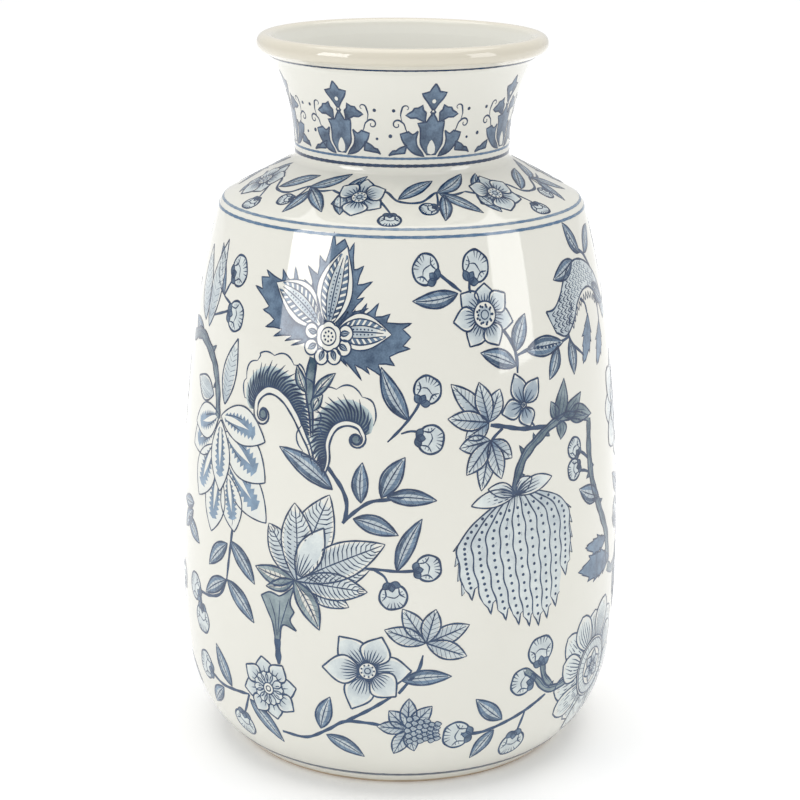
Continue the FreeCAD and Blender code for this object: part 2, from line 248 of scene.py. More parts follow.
def outer_curves():
    """The outside of the vase from the foot ring to the lip seam, as arcs and straight lines.

    Each curve is (low, high, centre, bow): bow is negative where the centre lies outside,
    and None on a straight line, where centre holds the line's two ends instead.
    """
    widest = (BELLY_RADIUS, BELLY_HEIGHT)
    lower_centre = (BELLY_RADIUS - LOWER_BOW, BELLY_HEIGHT)
    heel = (lower_centre[0] + math.sqrt(LOWER_BOW ** 2 - (HEEL_HEIGHT - BELLY_HEIGHT) ** 2), HEEL_HEIGHT)
    heel_centre, turn = tangent_arc(heel, lower_centre, HEEL_BOW, HEEL_TURN_HEIGHT)
    foot_end = (WALL_FOOT_RADIUS, FOOT_HEIGHT)
    turn_bow = closing_bow(turn, heel_centre, foot_end)
    turn_centre = tangent_arc(turn, heel_centre, turn_bow, FOOT_HEIGHT)[0]
    rise = SHOULDER_HEIGHT - BELLY_HEIGHT
    inset = BELLY_RADIUS - SHOULDER_RADIUS
    side_bow = SIDE_EASE * (rise ** 2 + inset ** 2) / (2 * inset)
    side_centre, bend = tangent_arc(widest, (0, BELLY_HEIGHT), side_bow, BELLY_HEIGHT + SIDE_SHARE * rise)
    corner = (SHOULDER_RADIUS, SHOULDER_HEIGHT)
    bend_bow = closing_bow(bend, side_centre, corner)
    bend_centre = tangent_arc(bend, side_centre, bend_bow, SHOULDER_HEIGHT)[0]
    corner_centre = tangent_arc(corner, bend_centre, CORNER_BOW, SHOULDER_HEIGHT)[0]
    root_centre = (NECK_RADIUS + ROOT_BOW, NECK_SEAM)
    span = Vector(root_centre) - Vector(corner_centre)
    along = (CORNER_BOW + ROOT_BOW) / span.length
    across = Vector((span.y, -span.x)) / span.length
    facing = span / span.length * along + across * math.sqrt(1 - along ** 2)
    slope_low = Vector(corner_centre) + facing * CORNER_BOW
    slope_high = Vector(root_centre) - facing * ROOT_BOW
    return [
        (FOOT_HEIGHT, HEEL_TURN_HEIGHT, turn_centre, turn_bow),
        (HEEL_TURN_HEIGHT, HEEL_HEIGHT, heel_centre, HEEL_BOW),
        (HEEL_HEIGHT, BELLY_HEIGHT, lower_centre, LOWER_BOW),
        (BELLY_HEIGHT, bend[1], side_centre, side_bow),
        (bend[1], SHOULDER_HEIGHT, bend_centre, bend_bow),
        (SHOULDER_HEIGHT, slope_low.y, corner_centre, CORNER_BOW),
        (slope_low.y, slope_high.y, (slope_low, slope_high), None),
        (slope_high.y, NECK_SEAM, root_centre, -ROOT_BOW),
        (NECK_SEAM, WAIST_HEIGHT, ((NECK_RADIUS, NECK_SEAM), (NECK_RADIUS, WAIST_HEIGHT)), None),
        (WAIST_HEIGHT, RIM_HEIGHT + LAP, (NECK_RADIUS + FLARE_BOW, WAIST_HEIGHT), -FLARE_BOW),
    ]


OUTER = outer_curves()


def on_outer(height):
    """Radius and facing (outwards, upwards) of the outside at a height, in mm."""
    low, high, centre, bow = next((c for c in OUTER if c[0] <= height <= c[1]), OUTER[-1])
    if bow is None:
        start, end = Vector(centre[0]), Vector(centre[1])
        share = (height - low) / (high - low)
        facing = Vector((end.y - start.y, start.x - end.x)).normalized()
        return start.x + (end.x - start.x) * share, facing.x, facing.y
    reach = math.sqrt(bow ** 2 - (height - centre[1]) ** 2)
    side = 1 if bow > 0 else -1
    return centre[0] + side * reach, reach / abs(bow), side * (height - centre[1]) / abs(bow)


def station_heights():
    """Heights at which the outside is sampled: evenly on long curves, by degrees of turn on others."""
    heights = {SKIRT_HEIGHT, SKIRT_HEIGHT + LAP, NECK_SEAM + LAP, RIM_HEIGHT}
    for low, high, centre, bow in OUTER:
        step = LONG_STEP if bow is None or abs(bow) > LONG_BOW else abs(bow) * TURN_STEP
        count = max(2, math.ceil((high - low) / step))
        if bow is not None and abs(bow) < TIGHT_BOW:
            count *= 2
        heights.update(low + (high - low) * i / count for i in range(count + 1))
    return sorted(heights)


STATIONS = station_heights()


def skin(start, end, depth):
    """Points of the wall between two outside heights, at a depth below the outer surface."""
    heights = [z for z in STATIONS if min(start, end) - 1e-6 <= z <= max(start, end) + 1e-6]
    if depth == WALL:
        heights = heights[::2] if heights[-1] in heights[::2] else heights[::2] + [heights[-1]]
    points = []
    for z in heights:
        r, out, up = on_outer(z)
        points.append((r - out * depth, z - up * depth))
    return points if end > start else points[::-1]


inside = [p for p in skin(SKIRT_HEIGHT + LAP, FOOT_HEIGHT, WALL) if p[1] > FLOOR_TOP + 0.3]
belly = lathe("belly_wall_glazed",
              skin(FOOT_HEIGHT, SKIRT_HEIGHT, 0) + skin(SKIRT_HEIGHT, SKIRT_HEIGHT + LAP, WALL / 2)
              + inside + [(inside[-1][0] - JUST_OFF, FLOOR_TOP), (FLOOR_RADIUS, FLOOR_TOP),
                          (FLOOR_RADIUS, FOOT_HEIGHT)])
set_up(belly, glazed, "white_glaze", "belly_wall")

# ---------------------------------------------------------------------------
# Shoulder section
# A shallow cone with a rounded corner. Its skirt laps over the belly's tongue,
# and a short spigot at its top carries the neck.
# ---------------------------------------------------------------------------
shoulder = lathe("shoulder_glazed",
                 skin(SKIRT_HEIGHT, NECK_SEAM, 0) + skin(NECK_SEAM, NECK_SEAM + LAP, WALL / 2)
                 + skin(NECK_SEAM + LAP, SKIRT_HEIGHT + LAP, WALL)
                 + skin(SKIRT_HEIGHT + LAP, SKIRT_HEIGHT, WALL / 2))
set_up(shoulder, glazed, "white_glaze", "shoulder_section")

# ---------------------------------------------------------------------------
# Neck section
# A straight waist that flares like a trumpet, seated over the shoulder's spigot.
# ---------------------------------------------------------------------------
neck = lathe("neck_glazed",
             skin(NECK_SEAM, RIM_HEIGHT, 0) + skin(RIM_HEIGHT, RIM_HEIGHT + LAP, WALL / 2)
             + skin(RIM_HEIGHT + LAP, NECK_SEAM + LAP, WALL)
             + skin(NECK_SEAM + LAP, NECK_SEAM, WALL / 2))
set_up(neck, glazed, "white_glaze", "neck_section")

# ---------------------------------------------------------------------------
# Lip ring
# The rim is turned over into a fat round roll while the clay is soft, with a
# small cove under it, and lapped over the neck's tongue.
# ---------------------------------------------------------------------------
ROLL = 4.2                   # radius of the roll
ROLL_OVERHANG = 4.3          # its centre stands this far out from the seam
ROLL_RISE = 9.3              # and this far above it
COVE_STEPS = 12
ROLL_STEPS = 44

rim_radius, out, up = on_outer(RIM_HEIGHT)
rim = Vector((rim_radius, RIM_HEIGHT))
roll = rim + Vector((ROLL_OVERHANG, ROLL_RISE))
cove_bow = ((roll - rim).length_squared - ROLL ** 2) / 2 / (ROLL + (roll - rim).dot(Vector((out, up))))
cove = rim + Vector((out, up)) * cove_bow


def on_cove(height):
    """Radius and facing of the small cove under the lip at a height, in mm."""
    reach = math.sqrt(max(cove_bow ** 2 - (height - cove.y) ** 2, 0))
    return cove.x - reach, reach / cove_bow, (cove.y - height) / cove_bow


def lip_outline():
    """Cove, roll and throat of the lip, and the rebate that fits the neck's tongue."""
    first = math.atan2(rim.y - cove.y, rim.x - cove.x)
    meet = math.atan2(roll.y - cove.y, roll.x - cove.x)
    points = [(cove.x + cove_bow * math.cos(first + (meet - first) * i / COVE_STEPS),
               cove.y + cove_bow * math.sin(first + (meet - first) * i / COVE_STEPS))
              for i in range(COVE_STEPS + 1)]
    tongue = Vector(skin(RIM_HEIGHT + LAP, RIM_HEIGHT + LAP, WALL)[0])
    back = tongue - roll
    final = math.atan2(back.y, back.x) - math.acos(ROLL / back.length)
    start = meet - math.pi
    final = final if final > start else final + math.tau
    points += [(roll.x + ROLL * math.cos(start + (final - start) * i / ROLL_STEPS),
                roll.y + ROLL * math.sin(start + (final - start) * i / ROLL_STEPS))
               for i in range(1, ROLL_STEPS + 1)]
    points.append(tuple(tongue))
    return points + skin(RIM_HEIGHT + LAP, RIM_HEIGHT, WALL / 2)


lip = lathe("lip_glazed", lip_outline())
set_up(lip, glazed, "white_glaze", "lip_ring")

# ---------------------------------------------------------------------------
# Ring lines
# Thin cobalt rings are drawn first, with the vase turning on the banding wheel
# and the brush held still: under the lip, round the neck's foot, at the shoulder
# and above the foot. All the painting lies under the clear glaze.
# ---------------------------------------------------------------------------
PAINT_RISE = 0.03            # the lowest layer of paint stands this far off the wall, mm
LAYER_RISE = 0.02            # and each layer on top of it this much more
MARK_RISE = 0.0003           # marks of one layer differ by this, so that no two share a plane
BRUSH = 1.3                  # the brush at hand draws all lines this much fuller
STROKE_STEP = 1.6            # a stroke has a point this often, mm
PAINT_SINK = 0.25            # how far the painted skin reaches into the wall
SWELL = 0.13                 # a hand's line swells and thins by this share
LONGEST_FADE = 4.0           # and tapers over at most this length at its ends, mm
# Each ring line: height, width, colour and strength
RING_LINES = ((339.4, 0.65, "line", 0.95), (297.8, 0.8, "mid", 1.0), (294.4, 1.1, "line", 0.9),
              (271.9, 0.7, "mid", 0.85), (268.7, 0.95, "mid", 0.95), (7.4, 1.3, "line", 1.0))
THIN_HEIGHTS, THIN_TONES = (50, 130), (0.75, 1.0)   # the colour is thinner towards the foot
OPEN_STEP = 0.25             # the outside is looked up this finely, mm
OPEN_HEIGHTS = np.arange(FOOT_HEIGHT, RIM_HEIGHT + LAP, OPEN_STEP)
OPEN_SURFACE = np.array([on_outer(z) if z < RIM_HEIGHT else on_cove(z) for z in OPEN_HEIGHTS])
marks = []                   # every brush mark: colour, layer, flat points, faces and strength


def pigment(name, pale, strong, spread):
    """Cobalt under clear glaze: the marks' own strength runs the colour from pale to strong."""
    made, tree, shader = new_material(name)
    where = add(tree, "ShaderNodeTexCoord").outputs["Object"]
    strength = add(tree, "ShaderNodeAttribute", {"attribute_name": "strength"}).outputs["Fac"]
    pooling = add(tree, "ShaderNodeTexNoise", Vector=where, Scale=1 / (5 * MM), Detail=4.0)
    speckle = add(tree, "ShaderNodeTexNoise", Vector=where, Scale=1 / (0.8 * MM), Detail=2.0)
    both = add(tree, "ShaderNodeMath", {"operation": "MULTIPLY_ADD"},
               _0=speckle.outputs[0], _1=0.4, _2=pooling.outputs[0])
    drift = add(tree, "ShaderNodeMapRange", Value=both.outputs[0], From_Min=0.4, From_Max=1.0,
                To_Min=-spread, To_Max=spread)
    amount = add(tree, "ShaderNodeMath", {"operation": "ADD", "use_clamp": True},
                 _0=strength, _1=drift.outputs[0])
    tone = add(tree, "ShaderNodeMix", {"data_type": "RGBA"}, _0=amount.outputs[0],
               _6=linear(pale), _7=linear(strong))
    tree.links.new(tone.outputs[2], shader.inputs["Base Color"])
    shader.inputs["Roughness"].default_value = 0.045
    shader.inputs["IOR"].default_value = 1.52
    return made


# Cobalt ink drawn with a fine brush, cobalt thinned to a wash, and a greyer cobalt
# with iron in it. All read as soft blues sunk in a wet, shiny surface.
PIGMENTS = {
    "line": pigment("cobalt_outline_under_glaze", "#4A6788", "#10294A", 0.25),
    "deep": pigment("cobalt_deep_wash_under_glaze", "#86A0B8", "#19324F", 0.30),
    "mid": pigment("cobalt_wash_under_glaze", "#D8DFDD", "#4A6B8B", 0.16),
    "teal": pigment("iron_cobalt_wash_under_glaze", "#BCCBCC", "#29475A", 0.22),
    "white": pigment("reserved_white_under_glaze", "#E0DFD6", "#D3DADA", 0.3),
}


def spaced(points, step=STROKE_STEP):
    """Straight runs between points, divided every step mm."""
    corners = np.asarray(points, float)
    runs = []
    for a, b in zip(corners[:-1], corners[1:]):
        share = np.arange(max(1, math.ceil(np.linalg.norm(b - a) / step)))[:, None]
        runs.append(a + (b - a) * share / len(share))
    return np.vstack(runs + [corners[-1:]])


def rounded(points, closed=False, step=STROKE_STEP):
    """A smooth curve through a few points, divided every step mm."""
    p = np.asarray(points, float)
    if len(p) < 3:
        return spaced(p, step)
    p = np.vstack([p[-1:], p, p[:2]]) if closed else np.vstack([2 * p[0] - p[1], p, 2 * p[-1] - p[-2]])
    runs = []
    for a, b, c, d in zip(p[:-3], p[1:-2], p[2:-1], p[3:]):
        count = max(1, math.ceil(np.linalg.norm(c - b) / step))
        t = np.arange(count)[:, None] / count
        runs.append((2 * b + (c - a) * t + (2 * a - 5 * b + 4 * c - d) * t ** 2
                     + (3 * b - a - 3 * c + d) * t ** 3) / 2)
    return np.vstack(runs if closed else runs + [p[-2:-1]])


def line(points, width=0.7, colour="line", layer=1, ends=(0.4, 0.4), strength=0.85, closed=False):
    """One brush line along points, thinner at its ends, with a hand's small swell."""
    p = np.asarray(points, float)
    if closed:
        p = np.vstack([p, p[:1]])
    along = np.gradient(p, axis=0)
    along /= np.maximum(np.linalg.norm(along, axis=1), 1e-9)[:, None]
    far = np.concatenate([[0], np.cumsum(np.linalg.norm(np.diff(p, axis=0), axis=1))])
    fade = max(min(LONGEST_FADE, far[-1] / 3), 1e-6)
    half = width * BRUSH / 2 * (1 + SWELL * np.sin(far * 0.8 + len(marks) * 1.7))
    if not closed:
        half *= np.minimum(1, ends[0] + (1 - ends[0]) * far / fade)
        half *= np.minimum(1, ends[1] + (1 - ends[1]) * (far[-1] - far) / fade)
    across = np.stack([-along[:, 1], along[:, 0]], 1) * half[:, None]
    n = len(p)
    faces = [(n + i, n + i + 1, i + 1, i) for i in range(n - 1)]
    tone = np.full(2 * n, strength)
    marks.append((colour, layer, np.vstack([p + across, p - across]), faces, tone))


def within(spots, outline):
    """Which spots lie inside a closed outline."""
    a, b = outline, np.roll(outline, -1, 0)
    up = (a[:, 1] > spots[:, 1:2]) != (b[:, 1] > spots[:, 1:2])
    rise = np.where(b[:, 1] == a[:, 1], 1e-9, b[:, 1] - a[:, 1])
    left = spots[:, 0:1] < (b[:, 0] - a[:, 0]) * (spots[:, 1:2] - a[:, 1]) / rise + a[:, 0]
    return (up & left).sum(1) % 2 == 1


def fill(outline, colour="mid", layer=0, strength=(0.5, 0.5), root=None, grid=3.0):
    """A wash inside a closed outline; its strength runs from root out to the farthest point."""
    edge = np.asarray(outline, float)
    low, high = edge.min(0), edge.max(0)
    xs, ys = np.meshgrid(np.arange(low[0] + grid / 2, high[0], grid),
                         np.arange(low[1] + grid / 2, high[1], grid))
    spots = np.stack([xs.ravel(), ys.ravel()], 1)
    if len(spots):
        spots = spots[within(spots, edge)]
    every = [Vector(q) for q in np.vstack([edge, spots])]
    verts, _, faces, *_ = delaunay_2d_cdt(every, [], [list(range(len(edge)))], 1, 1e-4)
    flat = np.array([tuple(v) for v in verts])
    if root is None:
        tone = np.full(len(flat), strength[0])
    else:
        away = np.linalg.norm(flat - np.asarray(root, float), axis=1)
        tone = strength[0] + (strength[1] - strength[0]) * away / max(away.max(), 1e-6)
    turned = []
    for a, b, c in faces:
        area = np.cross(flat[b] - flat[a], flat[c] - flat[a])
        if abs(area) > 1e-5:
            turned.append((a, b, c) if area > 0 else (a, c, b))
    marks.append((colour, layer, flat, turned, tone))


def wrap_marks(band, girth_radius, rise, starts):
    """Lay the flat marks on the vase at each start angle, as one thin closed skin for each colour.

    rise turns a mark's second coordinate into a height on the vase.
    """
    for colour in PIGMENTS:
        points, faces, tones = [], [], []
        base = 0
        for serial, (ink, layer, flat, sides, tone) in enumerate(marks):
            if ink != colour or not sides:
                continue
            lift = PAINT_RISE + LAYER_RISE * layer + MARK_RISE * (serial % 40)
            points.append(np.column_stack([flat, np.full(len(flat), lift)]))
            faces.extend([tuple(base + i for i in side) for side in sides])
            tones.append(tone * np.interp(rise(flat[:, 1]), THIN_HEIGHTS, THIN_TONES))
            base += len(flat)
        if not points:
            continue
        mesh = bpy.data.meshes.new("painting_%s_%s" % (band, colour))
        mesh.from_pydata(np.vstack(points), [], faces)
        mesh.attributes.new("strength", "FLOAT", "POINT").data.foreach_set("value", np.concatenate(tones))
        bm = bmesh.new()
        bm.from_mesh(mesh)
        bmesh.ops.solidify(bm, geom=bm.faces, thickness=PAINT_SINK)
        bm.to_mesh(mesh)
        count = len(bm.verts)
        bm.free()
        flat = np.empty(count * 3)
        mesh.vertices.foreach_get("co", flat)
        flat = flat.reshape(-1, 3)
        heights = np.clip(rise(flat[:, 1]), OPEN_HEIGHTS[0], OPEN_HEIGHTS[-1])
        radius, out, up = (np.interp(heights, OPEN_HEIGHTS, OPEN_SURFACE[:, k]) for k in range(3))
        rings, facings = [], []
        for start in starts:
            angle = flat[:, 0] / girth_radius + math.radians(start)
            reach = radius + out * flat[:, 2]
            rings.append(np.column_stack([np.sin(angle) * reach, -np.cos(angle) * reach,
                                          heights + up * flat[:, 2]]) * MM)
            side = np.where(flat[:, 2] > 0, 1.0, -1.0)
            facing = np.column_stack([np.sin(angle) * out, -np.cos(angle) * out, up])
            facings.append(facing * side[:, None])
        bm = bmesh.new()
        for _ in starts:
            bm.from_mesh(mesh)
        bm.to_mesh(mesh)
        bm.free()
        mesh.vertices.foreach_set("co", np.vstack(rings).ravel())
        mesh.polygons.foreach_set("use_smooth", np.ones(len(mesh.polygons), bool))
        mesh.update()
        mesh.normals_split_custom_set_from_vertices(np.vstack(facings))
        piece = bpy.data.objects.new(mesh.name, mesh)
        bpy.context.scene.collection.objects.link(piece)
        set_up(piece, PIGMENTS[colour], "cobalt_painting")


GIRTH = math.tau * BELLY_RADIUS
for height, width, colour, strength in RING_LINES:
    line(spaced([(0, height), (GIRTH, height)], step=2.6), width, colour, 4, (1, 1), strength)
wrap_marks("rings", BELLY_RADIUS, lambda v: v, (0,))
marks.clear()

# ---------------------------------------------------------------------------
# Neck band
# Eight crowned palmettes stand round the neck, each with small leaves, curled
# tendrils and dots, drawn with a fine brush and filled in with strong cobalt.
# ---------------------------------------------------------------------------
PALMETTE_RADIUS = 54.0       # the radius at which the band was laid out flat
# Where each palmette stands, in degrees round the neck: not quite even
PALMETTES = (-32.4, 14.9, 64.0, 106.3, 150.5, 194.8, 239.1, 283.3)


def mirror_marks(first):
    """Paint the marks from first on once more, mirrored left to right."""
    for colour, layer, flat, faces, tone in marks[first:]:
        marks.append((colour, layer, flat * (-1, 1), [face[::-1] for face in faces], tone))


def curl(start, centre, turns, end_radius=0.5):
    """A spiral from start in towards a centre; positive turns run anticlockwise."""
    arm = np.asarray(start, float) - centre
    radius, first = np.linalg.norm(arm), math.atan2(arm[1], arm[0])
    t = np.linspace(0, 1, max(8, int(abs(turns) * 18)))
    reach = radius + (end_radius - radius) * t
    angle = first + math.tau * turns * t
    return np.stack([centre[0] + reach * np.cos(angle), centre[1] + reach * np.sin(angle)], 1)


def ring(centre, radius, step=0.9):
    """Points of a circle."""
    angle = np.linspace(0, math.tau, max(8, int(math.tau * radius / step)), endpoint=False)
    return np.stack([centre[0] + radius * np.cos(angle), centre[1] + radius * np.sin(angle)], 1)


def dot(centre, radius, layer=1, strength=0.9):
    """One touch of the brush's tip."""
    angle = np.arange(8) * math.tau / 8
    flat = np.stack([centre[0] + radius * np.cos(angle), centre[1] + radius * np.sin(angle)], 1)
    marks.append(("line", layer, flat, [tuple(range(8))], np.full(8, strength)))


def outline_of(*runs):
    """A closed outline of smooth runs, with a corner wherever one run ends and the next begins."""
    return np.vstack([rounded(run) for run in runs])


def solid_shape(points, root):
    """A shape filled with strong colour, a little thinner away from its root, and outlined."""
    fill(points, "deep", 1, (0.85, 0.5), root, 1.8)
    line(points, 0.6, "line", 2, closed=True)


spear = outline_of([(0, 333), (-1.4, 330.8), (-2.2, 329.2)],
                   [(-5.5, 328.2), (-4.2, 326), (-2.4, 323.6), (-0.4, 320.6)],
                   [(0.6, 320.6), (2.4, 323.6), (4.2, 326), (5.5, 328.6)], [(2.2, 329.2), (1.4, 330.8)])
solid_shape(spear, (0, 322))
fill(ring((0, 324.6), 1.0) * (0.9, 1), "white", 3, (0.2, 0.2))
line(rounded([(-0.3, 320.8), (-1.0, 319.4), (0.9, 317.2)]), 0.7)
line(rounded([(0.4, 320.8), (1.1, 319.4), (-0.8, 317.2)]), 0.7)
crown = outline_of([(0, 319.3), (-1.9, 316.2), (-2.6, 314.9)], [(-7, 314.2), (-5.6, 312.0), (-5.4, 309)],
                   [(-5.4, 309), (-5.2, 304.5), (-2.2, 299.6)], [(2.2, 299.6), (5.2, 304.5), (5.4, 309)],
                   [(5.4, 309), (5.6, 312.0), (5.9, 315)], [(2.6, 314.9), (1.9, 316.2)])
solid_shape(crown, (0, 302))
drop = rounded([(-1.6, 300.2), (-1.9, 303), (0, 306.4), (1.9, 303), (1.6, 300.2)])
fill(np.vstack([drop, [(0, 299.6)]]), "white", 3, (0.2, 0.2), grid=1.8)
first = len(marks)
petal_side = outline_of([(6.6, 310.6), (9, 309.0), (11, 310.4)],
                        [(15, 309.2), (13.4, 305.4), (9, 300.6), (3.4, 298.6)],
                        [(4.4, 300.4), (6.8, 303.6), (7.4, 307)])
solid_shape(petal_side, (6, 300))
small_leaf = outline_of([(3.2, 319.4), (4.6, 320.6), (4.8, 322.8)], [(6.8, 321.6), (8.6, 321.4)],
                        [(9.4, 320), (12.4, 318.2)], [(10.2, 316.8), (7.6, 316.9)],
                        [(5.4, 315.7), (3.4, 314.9)])
solid_shape(small_leaf, (3.4, 317))
line(np.vstack([rounded([(11.4, 309.6), (12.4, 311.6), (13.2, 314), (15.2, 315.6)]),
                curl((15.2, 315.6), (16.4, 313.6), -0.95)]), 0.6)
line(np.vstack([rounded([(14.2, 315.4), (14.8, 318.2), (14.2, 321)]),
                curl((14.2, 321), (12.2, 321.2), 0.7)]), 0.55)
dot((17.9, 320.2), 0.85)
mirror_marks(first)
for shape, tip in ((((2, 0), (5.6, 2.2), (9.6, 1.2), (10.6, 4.8)), 1),
                   (((-2, 0.4), (-5, 3.2), (-10, 2), (-9.6, 6)), -1)):
    a, b, c, d = (np.array((22.2, 299.2)) + p for p in shape)
    solid_shape(outline_of([a, (a + b) / 2 + (0, -0.6), c], [c, (c + d) / 2, d],
                           [d, (b + d) / 2 - (0.8 * tip, 0), b], [b, (a + b) / 2 + (0, 1.0), a]), a)
dot((18.6, 306.8), 0.7)
dot((25.0, 308.2), 0.95)
wrap_marks("neck", PALMETTE_RADIUS, lambda v: v, PALMETTES)
marks.clear()

# ---------------------------------------------------------------------------
# Shoulder band
# A flowering vine runs round the shoulder between its ring lines: star flowers,
# round buds and pairs of leaves on one wavy stem.
# ---------------------------------------------------------------------------
VINE_RADIUS = 70.0           # the radius at which the band was laid out flat
# Where each length of vine starts, in degrees round the shoulder
VINES = (-56.9, -1.3, 54.4, 116.6, 178.8, 241.0)
SLOPE_LOW = OUTER[6][0]      # where the straight slope of the shoulder begins
SLOPE_RISE = 0.4745          # height gained for each mm up the slope
SOFT = (0.7, 0.35)           # thinner colour for the small leaves of this band


def blade(base, tip, width, bend=0.0, widest=0.45, blunt=1.0):
    """Where a leaf or petal is: place(t, f) gives points t along it and f across it, from -1 to 1.

    It is pointed where blunt is 1 and rounder at the tip where blunt is less.
    """
    base, tip = np.asarray(base, float), np.asarray(tip, float)
    axis = tip - base
    side = np.array((-axis[1], axis[0])) / max(np.linalg.norm(axis), 1e-6)

    def place(t, f=0.0):
        """Points t along the blade and f across it."""
        t = np.clip(np.asarray(t, float), 0, 1)
        rise = np.sin(math.pi / 2 * np.minimum(t / widest, 1)) ** 0.85
        fall = np.cos(math.pi / 2 * np.clip((t - widest) / (1 - widest), 0, 1)) ** blunt
        half = width / 2 * rise * fall
        return base + axis * t[:, None] + side * (4 * bend * t * (1 - t) + half * f)[:, None]

    return place, np.linalg.norm(axis)


def both_sides(place, t, share=1):
    """The closed outline of a blade at a share of its width."""
    return np.vstack([place(t, share), place(t[-2:0:-1], -share)])


def leaf(base, tip, width, bend=0.0, tones=(0.95, 0.6), layer=1, colour="mid", edge=0.75, veins=True):
    """A leaf: a pale wash, two dark strokes that leave its middle bare, then its outline and midrib."""
    place, length = blade(base, tip, width, bend)
    t = np.linspace(0, 1, max(7, int(length / 1.6)))
    if colour == "mid":
        fill(both_sides(place, t, 0.96), "mid", layer, (0.55, 0.25), base, 2.6)
    inner = np.linspace(0.02, 0.92, len(t))
    bare = 0.1 + 0.32 * np.sin(math.pi * inner) ** 0.7
    for side, tone in ((1, tones[0]), (-1, tones[1])):
        fill(np.vstack([place(inner, side * bare), place(inner[::-1], side * 0.84)]),
             "deep" if colour == "mid" else colour, layer + 1, (tone, tone * 0.55), base, 2.6)
        line(place(t, side), edge, layer=layer + 2)
    line(place(t[:-1], 0), 0.45, layer=layer + 2)
    if veins and length > 11:
        for side in (1, -1):
            for start in np.linspace(0.2, 0.7, int(length / 4.2)):
                line(place([start, start + 0.09], [0.1 * side, 0.8 * side]), 0.3, layer=layer + 2,
                     strength=0.7)


def petal(base, tip, width, layer=1, tones=(0.6, 0.05), rays=5, reach=0.55, bend=0.0, widest=0.5,
          edge=0.7, blunt=0.85):
    """A pale petal: a wash that fades to its tip, its outline, and fine rays from its base."""
    place, length = blade(base, tip, width, bend, widest, blunt)
    t = np.linspace(0, 1, max(9, int(length / 1.4)))
    fill(both_sides(place, t), "white", layer, (0.1, 0.5), base)
    if tones:
        inner = np.linspace(0.0, 0.88, len(t))
        fill(both_sides(place, inner, 0.76), "mid", layer + 1, tones, base)
    line(place(t, 1), edge, layer=layer + 2, ends=(0.8, 0.9))
    line(place(t, -1), edge, layer=layer + 2, ends=(0.8, 0.9))
    for k in range(rays):
        f = (k - (rays - 1) / 2) / max(rays, 1) * 1.6
        far = reach * (1 - 0.35 * abs(f))
        line(place(np.linspace(0.06, far, 4), f), 0.45, layer=layer + 2, ends=(1, 0.2), strength=0.8)


def star_flower(centre, tips, width, heart=3.0, layer=1, rays=5, tones=(0.75, 0.1)):
    """An open flower: petals out to each tip round a ringed heart with a dotted edge."""
    centre = np.asarray(centre, float)
    for serial, tip in enumerate(tips):
        way = np.asarray(tip, float) - centre
        way /= np.linalg.norm(way)
        petal(centre + way * heart * 0.7, tip, width, layer + (serial % 2) * 3, tones, rays, blunt=1.1,
              widest=0.44)
    fill(ring(centre, heart), "white", layer + 6, (0.2, 0.2), grid=2)
    fill(ring(centre, heart * 0.62), "mid", layer + 7, (0.5, 0.5), grid=2)
    line(ring(centre, heart), 0.55, layer=layer + 8, closed=True)
    line(ring(centre, heart * 0.34), 0.45, layer=layer + 8, closed=True)
    for q in ring(centre, heart * 0.72, heart * 0.5):
        dot(q, heart * 0.09 + 0.12, layer=layer + 8)


def toward(degrees):
    """A step of 1 mm in a direction."""
    return np.array((math.cos(math.radians(degrees)), math.sin(math.radians(degrees))))


def bud(centre, radius, tip_angle, layer=1):
    """A round bud of three petals, striped at its mouth, held by three dark sepals."""
    centre = np.asarray(centre, float)
    way = toward(tip_angle)
    side = np.array((-way[1], way[0]))

    def spot(u, v):
        """A place on the bud: u runs from its base, -1, to its mouth, 1, and v across it."""
        return centre + way * radius * (0.84 * u - 0.16) + side * radius * 0.92 * v

    body = rounded([spot(-1, 0), spot(-0.7, 0.75), spot(0.1, 1.0), spot(0.85, 0.62), spot(1.0, 0),
                    spot(0.85, -0.62), spot(0.1, -1.0), spot(-0.7, -0.75)], True, 1.2)
    fill(body, "mid", layer, (0.3, 0.12), spot(1, 0))
    line(body, 0.8, layer=layer + 1, closed=True)
    line(rounded([spot(-0.75, 0.5), spot(-0.15, 0.5), spot(0.2, 0.85)]), 0.6, layer=layer + 1)
    line(rounded([spot(-0.75, -0.5), spot(-0.15, -0.5), spot(0.2, -0.85)]), 0.6, layer=layer + 1)
    line(rounded([spot(-0.15, 0.5), spot(0.1, 0.1), spot(-0.15, -0.5)]), 0.5, layer=layer + 1)
    for v in (-0.55, -0.3, 0, 0.3, 0.55):
        top = math.sqrt(1 - v * v) * 0.94
        line([spot(top, v), spot(top - 0.5 + 0.3 * abs(v), v * 0.6)], 0.5, layer=layer + 1, ends=(1, 0.2),
             strength=0.8)
    for u, v in ((-0.1, 0.8), (-0.35, 0.72), (-0.1, -0.8), (-0.35, -0.72)):
        line([spot(u, v), spot(u + 0.1, v * 0.6)], 0.35, layer=layer + 1, ends=(1, 0.2), strength=0.6)
    for angle in (58, 0, -58):
        c, d = toward(angle)
        sepal, _ = blade(spot(-1.15, 0), spot(-1.15 + 0.72 * c, 0.78 * d), radius * 0.46, 0, 0.5, 1.0)
        shape = both_sides(sepal, np.linspace(0, 1, 8))
        fill(shape, "deep", layer + 2, (0.95, 0.7), spot(-1.15, 0))
        line(shape, 0.45, layer=layer + 3, closed=True)


def stem(points, width):
    """A plain stem in one stroke."""
    line(rounded(points), width, "line", 1, (0.8, 0.5), 0.75)


def star_tips(centre, reach, count, turn, sway=0.08):
    """Tips of an even star, with a hand's small differences."""
    tips = []
    for k in range(count):
        far, angle = reach * (1 + sway * math.sin(3.1 * k)), math.radians(turn + k * 360 / count)
        tips.append((centre[0] + far * math.cos(angle), centre[1] + far * math.sin(angle)))
    return tips


